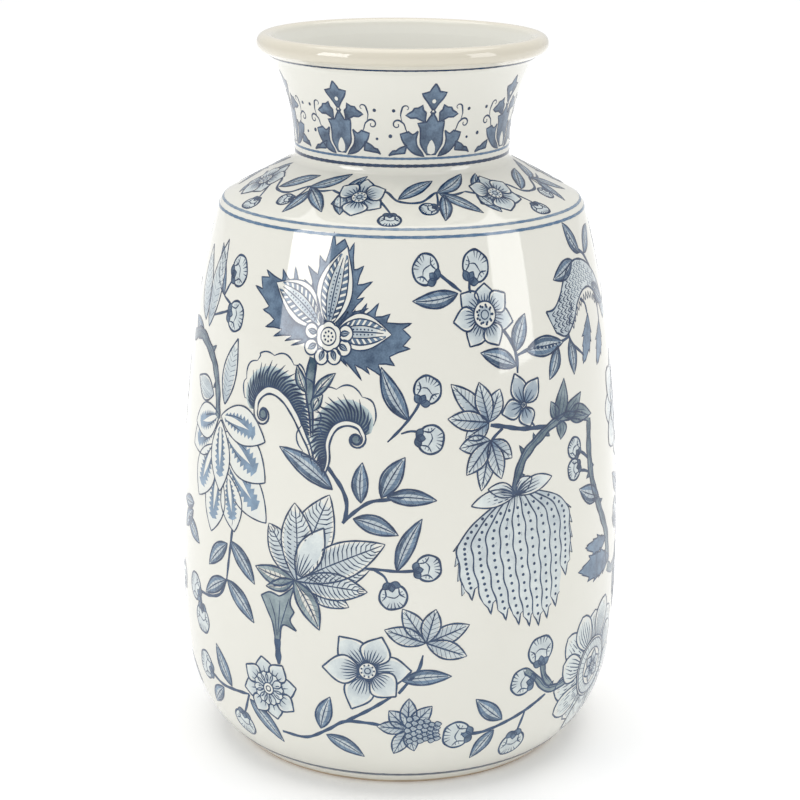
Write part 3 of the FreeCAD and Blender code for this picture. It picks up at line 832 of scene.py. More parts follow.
def on_slope(x, z):
    """A place on the shoulder band: girth and the distance up the slope."""
    return np.array((x, (z - SLOPE_LOW) / SLOPE_RISE))


stem([on_slope(-34, 284), on_slope(-28, 283), on_slope(-18, 282.6)], 1.1)
stem([on_slope(-18, 282.4), on_slope(-7, 284.6), on_slope(0, 281.4), on_slope(10, 281),
      on_slope(19, 284.2), on_slope(27, 283.2), on_slope(34, 284)], 1.1)
leaf(on_slope(0, 282), on_slope(19, 288.2), 6.5, 1.0, SOFT)
leaf(on_slope(19, 284), on_slope(39, 290), 6.5, -1.0, SOFT)
leaf(on_slope(20, 284), on_slope(36, 276.4), 6.0, 1.0, SOFT)
leaf(on_slope(22, 283.4), on_slope(18.6, 274.6), 5.0, 0.5, SOFT)
leaf(on_slope(-29, 283.2), on_slope(-23.6, 276.0), 6.0, 0.4, SOFT)
leaf(on_slope(-28, 283.4), on_slope(-19, 289.6), 5.0, 0.6, SOFT)
bud(on_slope(12.5, 278.6), 4.4, 200)
stem([on_slope(19, 284), on_slope(18, 280.6), on_slope(16.8, 279)], 0.9)
bud(on_slope(-3.0, 274.6), 4.8, -88)
stem([on_slope(-8.5, 281.6), on_slope(-5, 279), on_slope(-3, 277.2)], 0.9)
heart = on_slope(-18.5, 282.3)
star_flower(heart, star_tips(heart, 13.2, 6, 88), 11.5, 3.8)
wrap_marks("shoulder", VINE_RADIUS, lambda v: SLOPE_LOW + SLOPE_RISE * v, VINES)
marks.clear()

# ---------------------------------------------------------------------------
# Great three-petalled flower
# The largest bloom hangs under the shoulder: striped petals with bare borders,
# laid over a ragged leaf of deep cobalt, round a heart of small round petals.
# ---------------------------------------------------------------------------
def ragged(base, tip, width, depth, pitch, bend=0.0, layer=0, colour="deep", tones=(0.9, 0.5)):
    """A ragged leaf: its edge runs in slanted teeth, and it is outlined."""
    place, length = blade(base, tip, width, bend, 0.55, 0.8)
    count = max(3, int(length / pitch))
    sides = []
    for f in (1, -1):
        run = [place([0.0], f)[0]]
        for k in range(count):
            low, high = 0.08 + 0.88 * k / count, 0.08 + 0.88 * (k + 1) / count
            valley, foot_spot = place([low, high], f * 0.86)
            out = place([high], f)[0] - place([high - 0.12], 0)[0]
            out /= max(np.linalg.norm(out), 1e-6)
            tooth = foot_spot + out * depth * (0.8 + 0.3 * math.sin(2.7 * k + f))
            run += [valley, (valley + tooth) / 2 - out * depth * 0.08, tooth,
                    foot_spot * 0.6 + tooth * 0.4 - (tooth - valley) * 0.06]
        sides.append(run)
    end, near_end = place([1.0, 0.9], 0)
    outline = spaced(sides[0] + [end + (end - near_end)] + sides[1][::-1])
    fill(outline, colour, layer, tones, base)
    line(outline, 0.5, layer=layer + 1, closed=True)


def striped_petal(base, tip, width, bend=0.0, layer=2):
    """A bare-edged petal: slanted stripes down each side, and a dotted wash along its middle."""
    place, length = blade(base, tip, width, bend, 0.45, 1.0)
    t = np.linspace(0, 1, int(length / 1.5))
    fill(both_sides(place, t), "white", layer, (0.1, 0.1))
    line(place(t, 1), 0.5, layer=layer + 1)
    line(place(t, -1), 0.5, layer=layer + 1)
    band = np.linspace(0.03, 0.9, len(t))
    for side in (1, -1):
        fill(np.vstack([place(band, side * 0.36), place(band[::-1], side * 0.68)]), "deep", layer + 1,
             (0.95, 0.45), base)
        line(place(band, side * 0.7), 0.55, layer=layer + 2)
        line(place(band * 0.9 + 0.03, side * 0.34), 0.45, layer=layer + 2)
        for start in np.arange(0.08, 0.86, 2.9 / length):
            fill(np.vstack([place([start, start + 1.1 / length], side * 0.38),
                            place([start + 2.6 / length, start + 1.5 / length], side * 0.66)]),
                 "white", layer + 2, (0.1, 0.1))
    core = np.linspace(0.08, 0.76, len(t))
    fill(both_sides(place, core, 0.28), "mid", layer + 1, (0.7, 0.25), base)
    line(place(np.linspace(0.06, 0.86, 12), 0.0), 0.5, layer=layer + 2)
    for start in np.linspace(0.14, 0.66, int(length / 3)):
        for side in (1, -1):
            dot(place([start], side * 0.14)[0], 0.42, layer=layer + 2)


GREAT_HEART = np.array((-36.6, 224.3))
ragged((-38, 222), (-32, 263), 28, 8.0, 6.6)
ragged((-38, 221), (1, 225), 26, 7.0, 5.8)
ragged((-38, 223), (-77, 244), 24, 7.5, 6.4)
striped_petal((-37, 228), (-29.6, 264), 19.5, 1.5)
striped_petal((-33.5, 226), (-4.5, 226.5), 16.5, 1.0)
striped_petal((-41, 228), (-70, 245), 18, -2.5)
for away in ((-45.5, 218.9), (-39.8, 215.0), (-33.2, 215.6), (-28.2, 219.6), (-27.6, 226.2),
             (-45.9, 226.0)):
    spot = np.array(away)
    fill(ring(spot, 3.6), "white", 5, (0.1, 0.1), grid=2)
    line(ring(spot, 3.6), 0.6, layer=6, closed=True)
    inward = (GREAT_HEART - spot) / np.linalg.norm(GREAT_HEART - spot)
    leaf(spot + inward * 3.2, spot - inward * 2.0, 2.6, 0, (0.95, 0.95), 6, veins=False, edge=0.35)
fill(ring(GREAT_HEART, 6.6), "white", 7, (0.1, 0.1), grid=2)
turns = math.tau * np.arange(48) / 48
reach = 6.1 + 0.6 * np.abs(np.sin(3 * turns))
scallop = GREAT_HEART + np.stack([reach * np.cos(turns), reach * np.sin(turns)], 1)
line(scallop, 0.55, layer=8, closed=True)
line(ring(GREAT_HEART, 4.0), 0.5, layer=8, closed=True)
for spot in np.vstack([ring(GREAT_HEART, 2.2, 2.6), [GREAT_HEART]]):
    dot(spot, 0.55, layer=8)

# ---------------------------------------------------------------------------
# Plumes and their stem
# Under the great flower the stem splits into two feathered scrolls that roll up
# at their ends, each with a bare band along it and a scalloped edge behind.
# ---------------------------------------------------------------------------
def plume(spine, side, heights, widths, curl_centre, turns, scallop_height=6.0):
    """A feathered scroll: feathers on one side of its spine, a bare band on the other, a rolled end."""
    p = rounded(spine, step=1.3)
    along = np.gradient(p, axis=0)
    along /= np.linalg.norm(along, axis=1)[:, None]
    outward = side * np.stack([-along[:, 1], along[:, 0]], 1)
    share = np.linspace(0, 1, len(p))
    crest = np.interp(share, np.linspace(0, 1, len(heights)), heights)
    inner = np.interp(share, np.linspace(0, 1, len(widths)), widths)
    top = p + outward * crest[:, None]
    fade = np.vstack([p, p + outward * crest[:, None] * 0.6, top])
    n = len(p)
    faces = [(i, i + 1, i + n + 1, i + n)[::side] for i in range(2 * n - 1) if (i + 1) % n]
    marks.append(("teal", 1, fade, faces, np.repeat((0.95, 0.7, 0.05), n)))
    for k in range(1, n - 1):
        if crest[k] > 1.2:
            far = p[k] + outward[k] * (crest[k] * (0.9 + 0.14 * (k % 3))) - along[k] * crest[k] * 0.75
            middle = p[k] + outward[k] * crest[k] * 0.55 - along[k] * crest[k] * 0.2
            line(rounded([p[k], middle, far], step=1.2), 0.72, "line", 2, (1, 0.15), 0.9)
    low = p - outward * inner[:, None]
    fill(np.vstack([p, low[::-1]]), "white", 1, (0.1, 0.1))
    line(p, 0.7, layer=3)
    line(low, 0.75, layer=3)
    line(np.vstack([p[-3:-1], curl(p[-1], curl_centre, turns, 1.2)]), 0.75, layer=3)
    line(np.vstack([low[-3:-1], curl(low[-1], curl_centre, turns * 0.92, 1.6)]), 0.6, layer=3)
    fill(ring(curl_centre, 2.2), "teal", 2, (0.8, 0.8), grid=1.8)
    line(ring(curl_centre, 2.2), 0.55, layer=3, closed=True)
    count = max(4, int(len(p) * 1.3 / 7.5))
    for k in range(count):
        a, b = (0.16 + 0.8 * (k + j) / count for j in (0, 1))
        spots = []
        for t in np.linspace(a, b, 6):
            i = min(int(t * (n - 1)), n - 1)
            bulge = math.sin(math.pi * (t - a) / (b - a)) * 2.2
            lobe = scallop_height * math.sin(math.pi * min(1, t * 1.1)) ** 0.5
            spots.append(p[i] + outward[i] * (crest[i] + lobe + bulge))
        line(rounded(spots), 0.6, layer=2, strength=0.75)


fill(outline_of([(-45.8, 214.5), (-47.0, 206), (-47.0, 198), (-44.6, 188), (-43.2, 180)],
                [(-42.2, 180), (-42.8, 190), (-43.0, 200), (-42.0, 213.6)]), "teal", 0, (0.9, 0.5),
     (-44, 214))
line(rounded([(-45.8, 214.5), (-47.2, 206), (-47.0, 198), (-44.6, 188), (-43.2, 178)]), 0.8, layer=2)
line(rounded([(-42.0, 213.6), (-43.0, 200), (-42.8, 190), (-42.2, 178)]), 0.8, layer=2)
for low, tip in (((-43, 196), (-31.9, 208.2)), ((-46.8, 198), (-52.5, 210)), ((-43, 190), (-38, 198))):
    leaf(low, tip, 5.0, 0.8, (0.95, 0.7), 2, "teal")
plume([(-41, 166), (-43, 173.3), (-45.9, 179), (-49.4, 185.4), (-53, 190.4), (-57.3, 194.7), (-63, 197.6),
       (-68.7, 197.9), (-73.7, 195), (-76.6, 190.6), (-76.8, 186)], -1,
      [0.2, 0.4, 1.2, 3.5, 6.0, 8.0, 9, 9.4, 9, 7.5, 3.0], [1.2, 2.0, 2.8, 3.2, 3.4, 3.4, 3.0, 2.4],
      (-71.0, 184.8), 1.15)
plume([(-37.2, 161), (-35.2, 168), (-35.9, 175.4), (-34.6, 180.8), (-31.6, 185), (-27.6, 187),
       (-23, 187.2), (-18.7, 185.2), (-16.4, 181)], 1,
      [0.2, 3.0, 6.0, 7.5, 8.5, 9.5, 9.5, 8, 3.0], [1.2, 1.8, 2.4, 2.6, 2.4, 1.8], (-20.8, 179.0), -1.15)

# ---------------------------------------------------------------------------
# Twigs, leaves and buds
# Slender stems run between the blooms and carry single leaves and round buds.
# ---------------------------------------------------------------------------
# Each stem: the places that it runs through, and its width
STEMS = (
    (((-34.4, 165.4), (-31.6, 161.9), (-27.3, 156.1), (-24.8, 149.7), (-25.1, 143.3), (-26.6, 139.7)),
     1.5),
    (((-26.6, 139.7), (-20.9, 145.4), (-13.7, 150.4), (-5.1, 151.9), (2, 153)), 1.3),
    (((-17, 119), (-8, 118.6), (0, 118), (10, 118.5)), 1.1),
    (((-12, 118.6), (-7, 115.6), (-4.6, 110.5)), 0.9),
    (((19.7, 252.9), (26, 248.4), (31.6, 244.6)), 1.3),
    (((36.5, 250), (36, 246), (36.5, 243.6)), 1.2),
    (((10.4, 198.6), (6.6, 192), (0.4, 184.6), (-6, 178.3)), 1.0),
    (((11, 182.6), (5, 183.4), (0.4, 182.2)), 0.9),
    (((53.3, 226.4), (58.4, 219), (60.2, 212), (60.1, 206)), 1.4),
    (((60.4, 214), (70, 216), (84, 215), (98, 217)), 1.2),
    (((44, 184), (51.1, 182.6), (61.9, 180.1), (78, 179)), 1.6),
    (((62.9, 187.6), (65.5, 184), (68.6, 180.5)), 1.2),
    (((50.4, 181.9), (46, 178.6), (43.3, 175.4)), 1.2),
    (((-111, 233), (-102, 228.4), (-120, 222)), 1.0),
    (((-111, 233), (-106, 240), (-101, 243)), 1.0),
    (((-87.5, 132), (-89.6, 118), (-92.5, 100)), 1.2),
    (((-92.5, 100), (-98, 91), (-108, 87), (-119, 86)), 1.2),
    (((-119, 86), (-117.6, 80), (-117.4, 76)), 1.1),
    (((-111, 45.5), (-101.7, 42.7), (-92.5, 43), (-80, 44.2)), 1.3),
    (((-80, 44.2), (-84, 36), (-88, 30)), 1.1),
    (((-61.7, 28.7), (-47.5, 28.7), (-35, 35.5), (-26, 41.2), (-14, 41.4), (-6, 40)), 1.3),
    (((-26, 41.2), (-14, 48.5), (-3, 56)), 1.3),
    (((0, 57.5), (5, 64), (9.4, 70), (11.2, 77)), 1.2),
    (((31, 34), (42, 33.4), (55, 36.7), (66, 40.6), (78, 46)), 1.4),
    (((65.6, 40), (64, 33), (62.7, 27)), 1.1),
    (((-59.5, 96), (-59.9, 80), (-59.5, 65.5)), 2.6),
    (((108.7, 264), (118, 255), (127.5, 250.5), (137, 240)), 1.4),
    (((110, 206), (98, 217), (104, 232)), 1.1),
    (((113, 152), (104, 160), (98, 163)), 1.2),
    (((112, 148), (104, 152), (98, 153)), 1.1),
)
for points, width in STEMS:
    stem(points, width)

# Each leaf: base, tip, width, bend to one side
LEAVES = (
    ((-31.6, 154.9), (-60.1, 171.5), 9.5, -1.5), ((-18, 149.7), (-17.6, 168.6), 7.4, 0.8),
    ((-8.7, 152.6), (2.4, 171.5), 9, 0.6), ((-6, 153), (17.2, 151.1), 7.4, 0.8),
    ((-21.6, 142.2), (-0.5, 135.1), 8.4, 1.0), ((-1.2, 118), (10.4, 142.9), 7.4, 1.2),
    ((29.7, 243.9), (5.8, 241.1), 7.4, 1.0), ((59.7, 215.7), (67.2, 232.1), 8.2, 0.6),
    ((59.7, 209.3), (40.1, 217), 8.2, -0.8), ((66.1, 215.4), (92.5, 215.5), 9.0, 0.4),
    ((88, 214.6), (80, 200), 7, 1.0), ((98, 216), (99.4, 199), 7, 0.8),
    ((4, 188.3), (-9.5, 212), 8.4, 1.4), ((-92, 118), (-108, 103), 8, -0.8),
    ((-89.6, 120), (-73, 102.5), 8, 1.0), ((-92, 100), (-73.7, 83), 8.4, 1.0),
    ((-93, 99.5), (-112, 87.5), 7.4, -0.8), ((-93, 44.2), (-104, 63.5), 8, 0.8),
    ((-80, 41.7), (-63, 21.7), 8.2, 1.0), ((-101, 41), (-116, 28), 7, -0.6),
    ((-38.7, 35.5), (-33, 53.4), 8, 0.6), ((-36.2, 32.4), (-17.5, 21.2), 7.6, 1.0),
    ((52.5, 38.5), (37.5, 52), 8, 0.6), ((48.7, 33.4), (38.7, 17.6), 7.4, -0.6),
    ((1.2, 64.2), (25, 65.4), 7.4, 0.8), ((111.2, 250.5), (90.5, 244.2), 8, 0.6),
    ((122, 252), (108, 268), 8, 0.8), ((-111, 233), (-123.7, 255.5), 8, 0.8),
    ((118, 136), (98.7, 144), 9, 0.8), ((-128, 210), (-150, 216), 8, 0.8),
    ((132, 236), (150, 224), 8, -0.8), ((128, 251), (146, 262), 8, 0.8),
    ((-136, 30), (-152, 42), 8, 0.8), ((-136, 118), (-119, 110), 8, 0.8),
    ((-128, 124), (-142, 112), 8, -0.8), ((-127, 128), (-144, 126), 7, 0.6),
)
for base, tip, width, bend in LEAVES:
    leaf(base, tip, width, bend)

# Each bud: centre, radius and the way its mouth points, in degrees
BUDS = (
    ((11.9, 255.7), 7.6, 140), ((41.1, 256.4), 8, 55), ((13.6, 202.9), 7.2, 60),
    ((15.6, 179.2), 7.2, -10), ((14.4, 119.6), 6.8, 10), ((-2.5, 104.6), 7, -80),
    ((27.6, 33.7), 8, 175), ((62.5, 20.5), 8, -85), ((72.5, 71.7), 8.2, 95), ((61.2, 56.7), 7.4, 165),
    ((-98.7, 246.7), 7.8, 25), ((-96.2, 225.5), 7.6, -5), ((-126, 87), 7.6, 150),
    ((-117.5, 70.4), 8, -90), ((-118.7, 48), 7.8, 165), ((-90, 24.2), 7.8, -110),
    ((95.2, 165.5), 5.6, 130), ((94, 154.4), 5.6, 190), ((150, 120), 7.6, 60), ((-150, 86), 7.6, 100),
)
for centre, radius, angle in BUDS:
    bud(centre, radius, angle)

# ---------------------------------------------------------------------------
# Small flowers and leaf clusters
# Star flowers with ringed hearts, and five-fingered leaves striped with a fine
# brush, fill the field between the great blooms.
# ---------------------------------------------------------------------------
def leaf_cluster(centre, tips, width, layer=1, tones=(0.95, 0.12)):
    """Striped fingers spread from one place: bare border, wash that fades to the tip, slanted stripes."""
    for serial, tip in enumerate(tips):
        deep = layer + (serial % 2) * 3
        place, length = blade(centre, tip, width, 0, 0.5, 0.95)
        t = np.linspace(0, 1, max(8, int(length / 1.5)))
        fill(both_sides(place, t), "white", deep, (0.1, 0.3), centre)
        core = np.linspace(0.04, 0.92, len(t))
        for side, tone in ((1, tones[0]), (-1, tones[0] * 0.7)):
            fill(np.vstack([place(core, side * 0.1), place(core[::-1], side * 0.8)]), "mid", deep + 1,
                 (tone, tones[1]), centre)
            line(place(t, side), 0.7, layer=deep + 2)
            for start in np.arange(0.12, 0.84, 2.3 / length):
                line(place([start, start + 2.6 / length], [0.06 * side, 0.9 * side]), 0.46,
                     layer=deep + 2, strength=0.85)
        line(place(t[:-1], 0.0), 0.6, layer=deep + 2, ends=(1, 0.3))


star_flower((43.5, 233.8), ((44.4, 247.6), (56.1, 242.4), (59.5, 229.3), (50.4, 219.6), (34.8, 220.1),
                            (26.6, 231.4), (31, 243.6)), 11, 6.0, rays=5)
for spot in ring((43.5, 233.8), 3.6, 2.2):
    dot(spot, 0.6, layer=10)
star_flower((62.6, 191), ((58.2, 206), (72.4, 202.2), (50.1, 188.4), (66, 180.5)), 9.5, 1.6, 1, 3,
            (0.95, 0.35))
leaf_cluster((43.3, 185.4), ((24.4, 204), (38.6, 204), (49.6, 200), (22.6, 188.4), (31.1, 178.8)), 9.0)
leaf_cluster((43.8, 177.0), ((28.0, 174.6), (31.4, 162), (38.6, 154), (49, 158.6), (55, 167.6)), 8.4)
leaf_cluster((12.6, 83.0), ((1.5, 100), (17, 99.4), (33, 90.6), (32, 75), (-6.7, 89.6)), 9.0,
             tones=(0.7, 0.2))
star_flower((-14.5, 68.7), ((-28, 85), (-7.8, 86), (6, 69), (-1.2, 56), (-22.5, 48.4), (-36.4, 68.7)),
            14.5, 4.2, rays=7, tones=(0.6, 0.05))
daisy_heart = np.array((-66.5, 51.2))
star_flower(daisy_heart, star_tips(daisy_heart, 16.4, 8, 12, 0.03), 10.5, 8.4, rays=3, tones=(0.6, 0.05))
for serial, tip in enumerate(star_tips(daisy_heart, 8.9, 14, 5, 0.0)):
    petal(daisy_heart + (np.array(tip) - daisy_heart) * 0.3, tip, 4.0, 10 + serial % 2, (0.6, 0.1), 0,
          blunt=0.45, widest=0.6, edge=0.5)
fill(ring(daisy_heart, 3.0), "white", 14, (0.2, 0.2), grid=2)
for radius in (3.0, 1.4):
    line(ring(daisy_heart, radius), 0.5, layer=15, closed=True)

# ---------------------------------------------------------------------------
# Striped lotus
# Broad pointed petals open from one place, each drawn with slanted stripes, over
# three grey-blue sepals and a trumpet-shaped stalk.
# ---------------------------------------------------------------------------
LOTUS = (-49.3, 109.3)
for serial, (tip, width, bend) in enumerate((
        ((-64.6, 134.4), 15, -1.0), ((-50.6, 146.4), 17, -1.0), ((-33, 152.4), 20, 0.5),
        ((-6.6, 130.8), 17, 1.0), ((-13.6, 118.4), 15, 0.5), ((-14.6, 107.6), 13, 0.5),
        ((-23.2, 99.6), 11, 0.5))):
    deep = 1 + (serial % 2) * 3
    place, length = blade(LOTUS, tip, width, bend, 0.52, 0.9)
    t = np.linspace(0, 1, int(length / 1.4))
    fill(both_sides(place, t), "white", deep, (0.1, 0.3))
    core = np.linspace(0.02, 0.9, len(t))
    fill(both_sides(place, core, 0.82), "mid", deep + 1, (0.55, 0.12), LOTUS)
    for side in (1, -1):
        line(place(t, side), 0.65, layer=deep + 2)
        for start in np.arange(0.12, 0.86, 2.3 / length):
            line(place([start, start + 1.6 / length, start + 4.4 / length], [0, 0.5 * side, 0.92 * side]),
                 0.5, layer=deep + 2, strength=0.9)
    line(place(t[:-1], 0.0), 0.5, layer=deep + 2)
petal((-48.5, 110), (-35.5, 136.5), 13, 6, (0.3, 0.05), 5, 0.5, 0.5, 0.5, blunt=0.95)
for tip, width in (((-37.5, 86.7), 10), ((-72.4, 112), 9), ((-66, 103.5), 6)):
    leaf((-50.4, 109.4), tip, width, 1.0, (0.95, 0.75), 6, "teal")
calyx = outline_of([(-68.8, 98.4), (-65.4, 92), (-62.4, 86), (-61, 78)],
                   [(-58.4, 78), (-56.6, 86), (-49.4, 84.4)], [(-49.4, 84.4), (-52.6, 89), (-50.4, 93.4)],
                   [(-50.4, 93.4), (-52.6, 98), (-50, 106.4)], [(-50, 106.4), (-56, 101.4), (-58.6, 100)],
                   [(-58.6, 100), (-64, 101), (-68.8, 98.4)])
fill(calyx, "teal", 4, (0.5, 0.95), (-60, 99))
line(calyx, 0.6, layer=5, closed=True)
for spots in (((-64, 98), (-61, 90), (-60.2, 80)), ((-58, 98), (-58.6, 90), (-59.6, 80)),
              ((-53, 100), (-56, 91), (-58.8, 82))):
    line(rounded(spots), 0.4, layer=5)

# ---------------------------------------------------------------------------
# Beaded bloom on its thorned stem
# A drooping bloom of long wavy petals with rows of dots hangs from a thick,
# thorned, grey-blue stem that climbs to a ragged calyx at the right.
# ---------------------------------------------------------------------------
def thick_stem(points, widths, thorns=(), layer=2):
    """A thick stem: an iron-grey wash between two outlines, with a few dark streaks and thorns."""
    p = rounded(points)
    along = np.gradient(p, axis=0)
    along /= np.linalg.norm(along, axis=1)[:, None]
    side = np.stack([-along[:, 1], along[:, 0]], 1)
    half = np.interp(np.linspace(0, 1, len(p)), np.linspace(0, 1, len(widths)), widths)[:, None] / 2
    half = half * (1 + 0.12 * np.sin(np.arange(len(p)) * 0.9))[:, None]
    fill(np.vstack([p + side * half, (p - side * half)[::-1]]), "teal", layer, (0.9, 0.7), points[0])
    line(p + side * half, 0.7, layer=layer + 1)
    line(p - side * half, 0.7, layer=layer + 1)
    line((p + side * half * 0.3)[2:-2], 0.4, layer=layer + 1, strength=0.6)
    for share, hand, size in thorns:
        i = int(share * (len(p) - 1))
        out = side[i] * hand * half[i] * 0.9
        root_a, root_b = p[i] + out, p[min(i + 2, len(p) - 1)] + out
        spike = (root_a + root_b) / 2 + side[i] * hand * size + along[i] * size * 0.4
        fill(np.array([root_a, spike, root_b]), "teal", layer, (0.9, 0.9))
        line(spaced([root_a, spike, root_b]), 0.5, layer=layer + 1)


thick_stem([(56.4, 149), (56.6, 155), (58.8, 161.4), (61.8, 167), (66, 171), (71.4, 174.6), (78, 178.4),
            (88, 181), (98, 180), (110, 176)], (2.4, 3.4, 4.0, 3.8, 3.4, 3.6, 3.4, 3.0),
           ((0.14, -1, 2.6), (0.28, 1, 4.0), (0.4, 1, 2.6), (0.5, -1, 2.2)))
thick_stem([(110, 176), (108.7, 160.5), (111.2, 145), (119, 129), (128, 114), (131, 98)],
           (3.2, 4.0, 3.6, 4.2, 4.4, 5), ((0.3, -1, 3), (0.55, 1, 3)))
for base, tip, width, bend in (
        ((84, 180), (90.5, 199), 9, -1.0), ((89, 181), (104, 190), 8, -1),
        ((84, 181), (80, 190), 6, 0), ((86, 180), (85.4, 171), 7, 1),
        ((92, 181), (113, 177.5), 9, 1.0)):
    place, _ = blade(base, tip, width, bend, 0.36, 1.1)
    t = np.linspace(0, 1, 14)
    fill(both_sides(place, t), "teal", 3, (0.95, 0.55), base)
    for f in (1, -1):
        line(place(t, f), 0.65, layer=4)
        line(place(np.linspace(0.1, 0.75, 6), f * 0.35), 0.35, layer=4, strength=0.7)

place, _ = blade((57.2, 153), (71.0, 62), 64, -3.0, 0.24, 0.5)
# How far down the bloom each of its long petals ends
ENDS = (0.50, 0.60, 0.66, 0.71, 0.74, 0.76, 0.74, 0.70, 0.56)
MIDDLE = len(ENDS) // 2
WAVE, RIPPLES = 0.014, 46    # how far the petals' sides wave, and how often
for k, end in enumerate(ENDS):
    f0, f1 = -1 + 2 * k / len(ENDS), -1 + 2 * (k + 1) / len(ENDS)
    t = np.linspace(0.02, end - 0.06, 34)
    left = place(t, f0 + WAVE * np.sin(t * RIPPLES + k))
    right = place(t, f1 + WAVE * np.sin(t * RIPPLES + k + 1))
    tip = place([end - 0.02], (f0 + f1) / 2) + (0.4 * (k - MIDDLE) * 0.3, -2.6)
    notch = place([end - 0.03, end - 0.05], [f0 * 0.75 + f1 * 0.25, f0 * 0.25 + f1 * 0.75])
    shape = np.vstack([left, notch[:1], tip, notch[1:], right[::-1]])
    fill(shape, "mid", 1, (0.2 + 0.07 * abs(k - MIDDLE), 0.1), (60, 150))
    line(left, 0.6, layer=2)
    line(spaced(np.vstack([left[-1:], notch[:1], tip, notch[1:], right[-1:]])), 0.65, layer=2)
    if k == len(ENDS) - 1:
        line(right, 0.5, layer=2)
    for spot in place(np.linspace(0.1, end - 0.06, 14), (f0 + f1) / 2):
        dot(spot, 0.8, layer=2, strength=0.85)
    for share in np.linspace(0.05, 0.2, 3):
        line(place([0.03, share + 0.05], (f0 + f1) / 2 + (share - 0.12) * 0.5), 0.35, layer=2,
             strength=0.7)
for k in range(4):
    t = 0.14 + 0.08 * k
    for hand in (-1, 1):
        jag = np.vstack([place([t], hand), place([t + 0.09], hand * 1.06), place([t + 0.075], hand)])
        fill(jag, "mid", 1, (0.3, 0.3))
        line(jag, 0.55, layer=2)
for tip, width, bend in (((33.6, 147.4), 8, -1), ((42, 154.4), 7, -1), ((66, 157), 7, 1),
                         ((78.4, 155), 8, 1)):
    petal((56.6, 150), tip, width, 3, (0.5, 0.05), 4, 0.7, bend, edge=0.55)

# ---------------------------------------------------------------------------
# Berry cone
# A small cone of overlapping scales in a nest of striped leaves.
# ---------------------------------------------------------------------------
for tip, width in (((-4.6, 48.6), 8), ((5, 55), 8), ((16, 50.6), 8), ((-10.4, 40), 7), ((-2.4, 24), 8),
                   ((8, 25.6), 7)):
    leaf_cluster((4.5, 38.6), (tip,), width, 1, (0.85, 0.4))
for row in range(6):
    for column in range(-2, 3):
        spot = (4.4 + row * 2.7 + abs(column) * 0.5,
                37.8 - row * 0.4 + (column + 0.5 * (row % 2)) * (3.1 - row * 0.22))
        scale = rounded([spot + np.array(q) for q in ((-1.6, 0), (-0.4, 1.5), (2.0, 0), (-0.4, -1.5))],
                        True, 1.0)
        fill(scale, "mid", 4 + row % 2, (0.95, 0.4), spot)
        line(scale, 0.4, layer=6, closed=True)

# ---------------------------------------------------------------------------
# Lily on the left
# A wide flower of pale pointed petals, each with a ragged blue flame along its
# middle, hangs from a thick stem.
# ---------------------------------------------------------------------------
for serial, (base, tip, width, bend) in enumerate((
        ((-93, 152), (-87, 125), 16, 0), ((-101, 153), (-106, 120.4), 18, 0),
        ((-96, 160), (-66.4, 134), 20, 1), ((-106, 163), (-120, 134.6), 19, -0.5),
        ((-97, 171), (-67.6, 153), 22, 1), ((-105, 171), (-129.6, 157.6), 19, -0.5),
        ((-101, 176), (-99, 142), 16, 0), ((-101, 178), (-68.6, 172), 18, 2.0),
        ((-103, 178), (-128, 169), 17, 1.0))):
    deep = 1 + serial // 3 * 4
    petal(base, tip, width, deep, None, 0, bend=bend, widest=0.5, blunt=0.85, edge=0.55)
    place, _ = blade(base, tip, width, bend, 0.5, 0.85)
    flame_t = np.linspace(0.1, 0.8, 19)
    jag = 0.32 + 0.24 * (np.arange(19) % 2)
    jag[-1] = 0
    flame = np.vstack([place(flame_t, jag), place(flame_t[::-1], -jag[::-1])])
    fill(flame, "deep", deep + 2, (0.6, 0.2), base)
    bare = np.linspace(0.08, 0.66, 12)
    slim = 0.22 * np.cos(np.linspace(0, math.pi / 2, 12))
    fill(np.vstack([place(bare, slim), place(bare[-2:0:-1], -slim[-2:0:-1])]), "white", deep + 3,
         (0.1, 0.1))
    for f in (-0.3, 0.3):
        line(place(np.linspace(0.12, 0.5, 5), f), 0.4, layer=deep + 3, strength=0.8)
for base, tip, width in (((-99, 184), (-92.6, 216), 11), ((-110, 186), (-129.6, 191), 12),
                         ((-124, 216), (-117, 258), 14), ((-130, 218), (-140, 252), 15)):
    leaf_blade, _ = blade(base, tip, width, 1.0, 0.45, 1.0)
    petal(base, tip, width, 2, (0.5, 0.1), 0, bend=1.0, widest=0.45, blunt=1.0)
    for start in np.arange(0.12, 0.85, 0.075):
        for hand in (1, -1):
            line(leaf_blade([start, start + 0.07], [0.1 * hand, 0.8 * hand]), 0.45, layer=4, strength=0.7)
thick_stem([(-150, 206), (-138, 210), (-127.5, 210), (-114, 203), (-107, 192), (-103.7, 176)],
           (5, 5, 4.4, 4, 3.4, 3.0), ((0.5, 1, 4), (0.75, -1, 3)), 10)

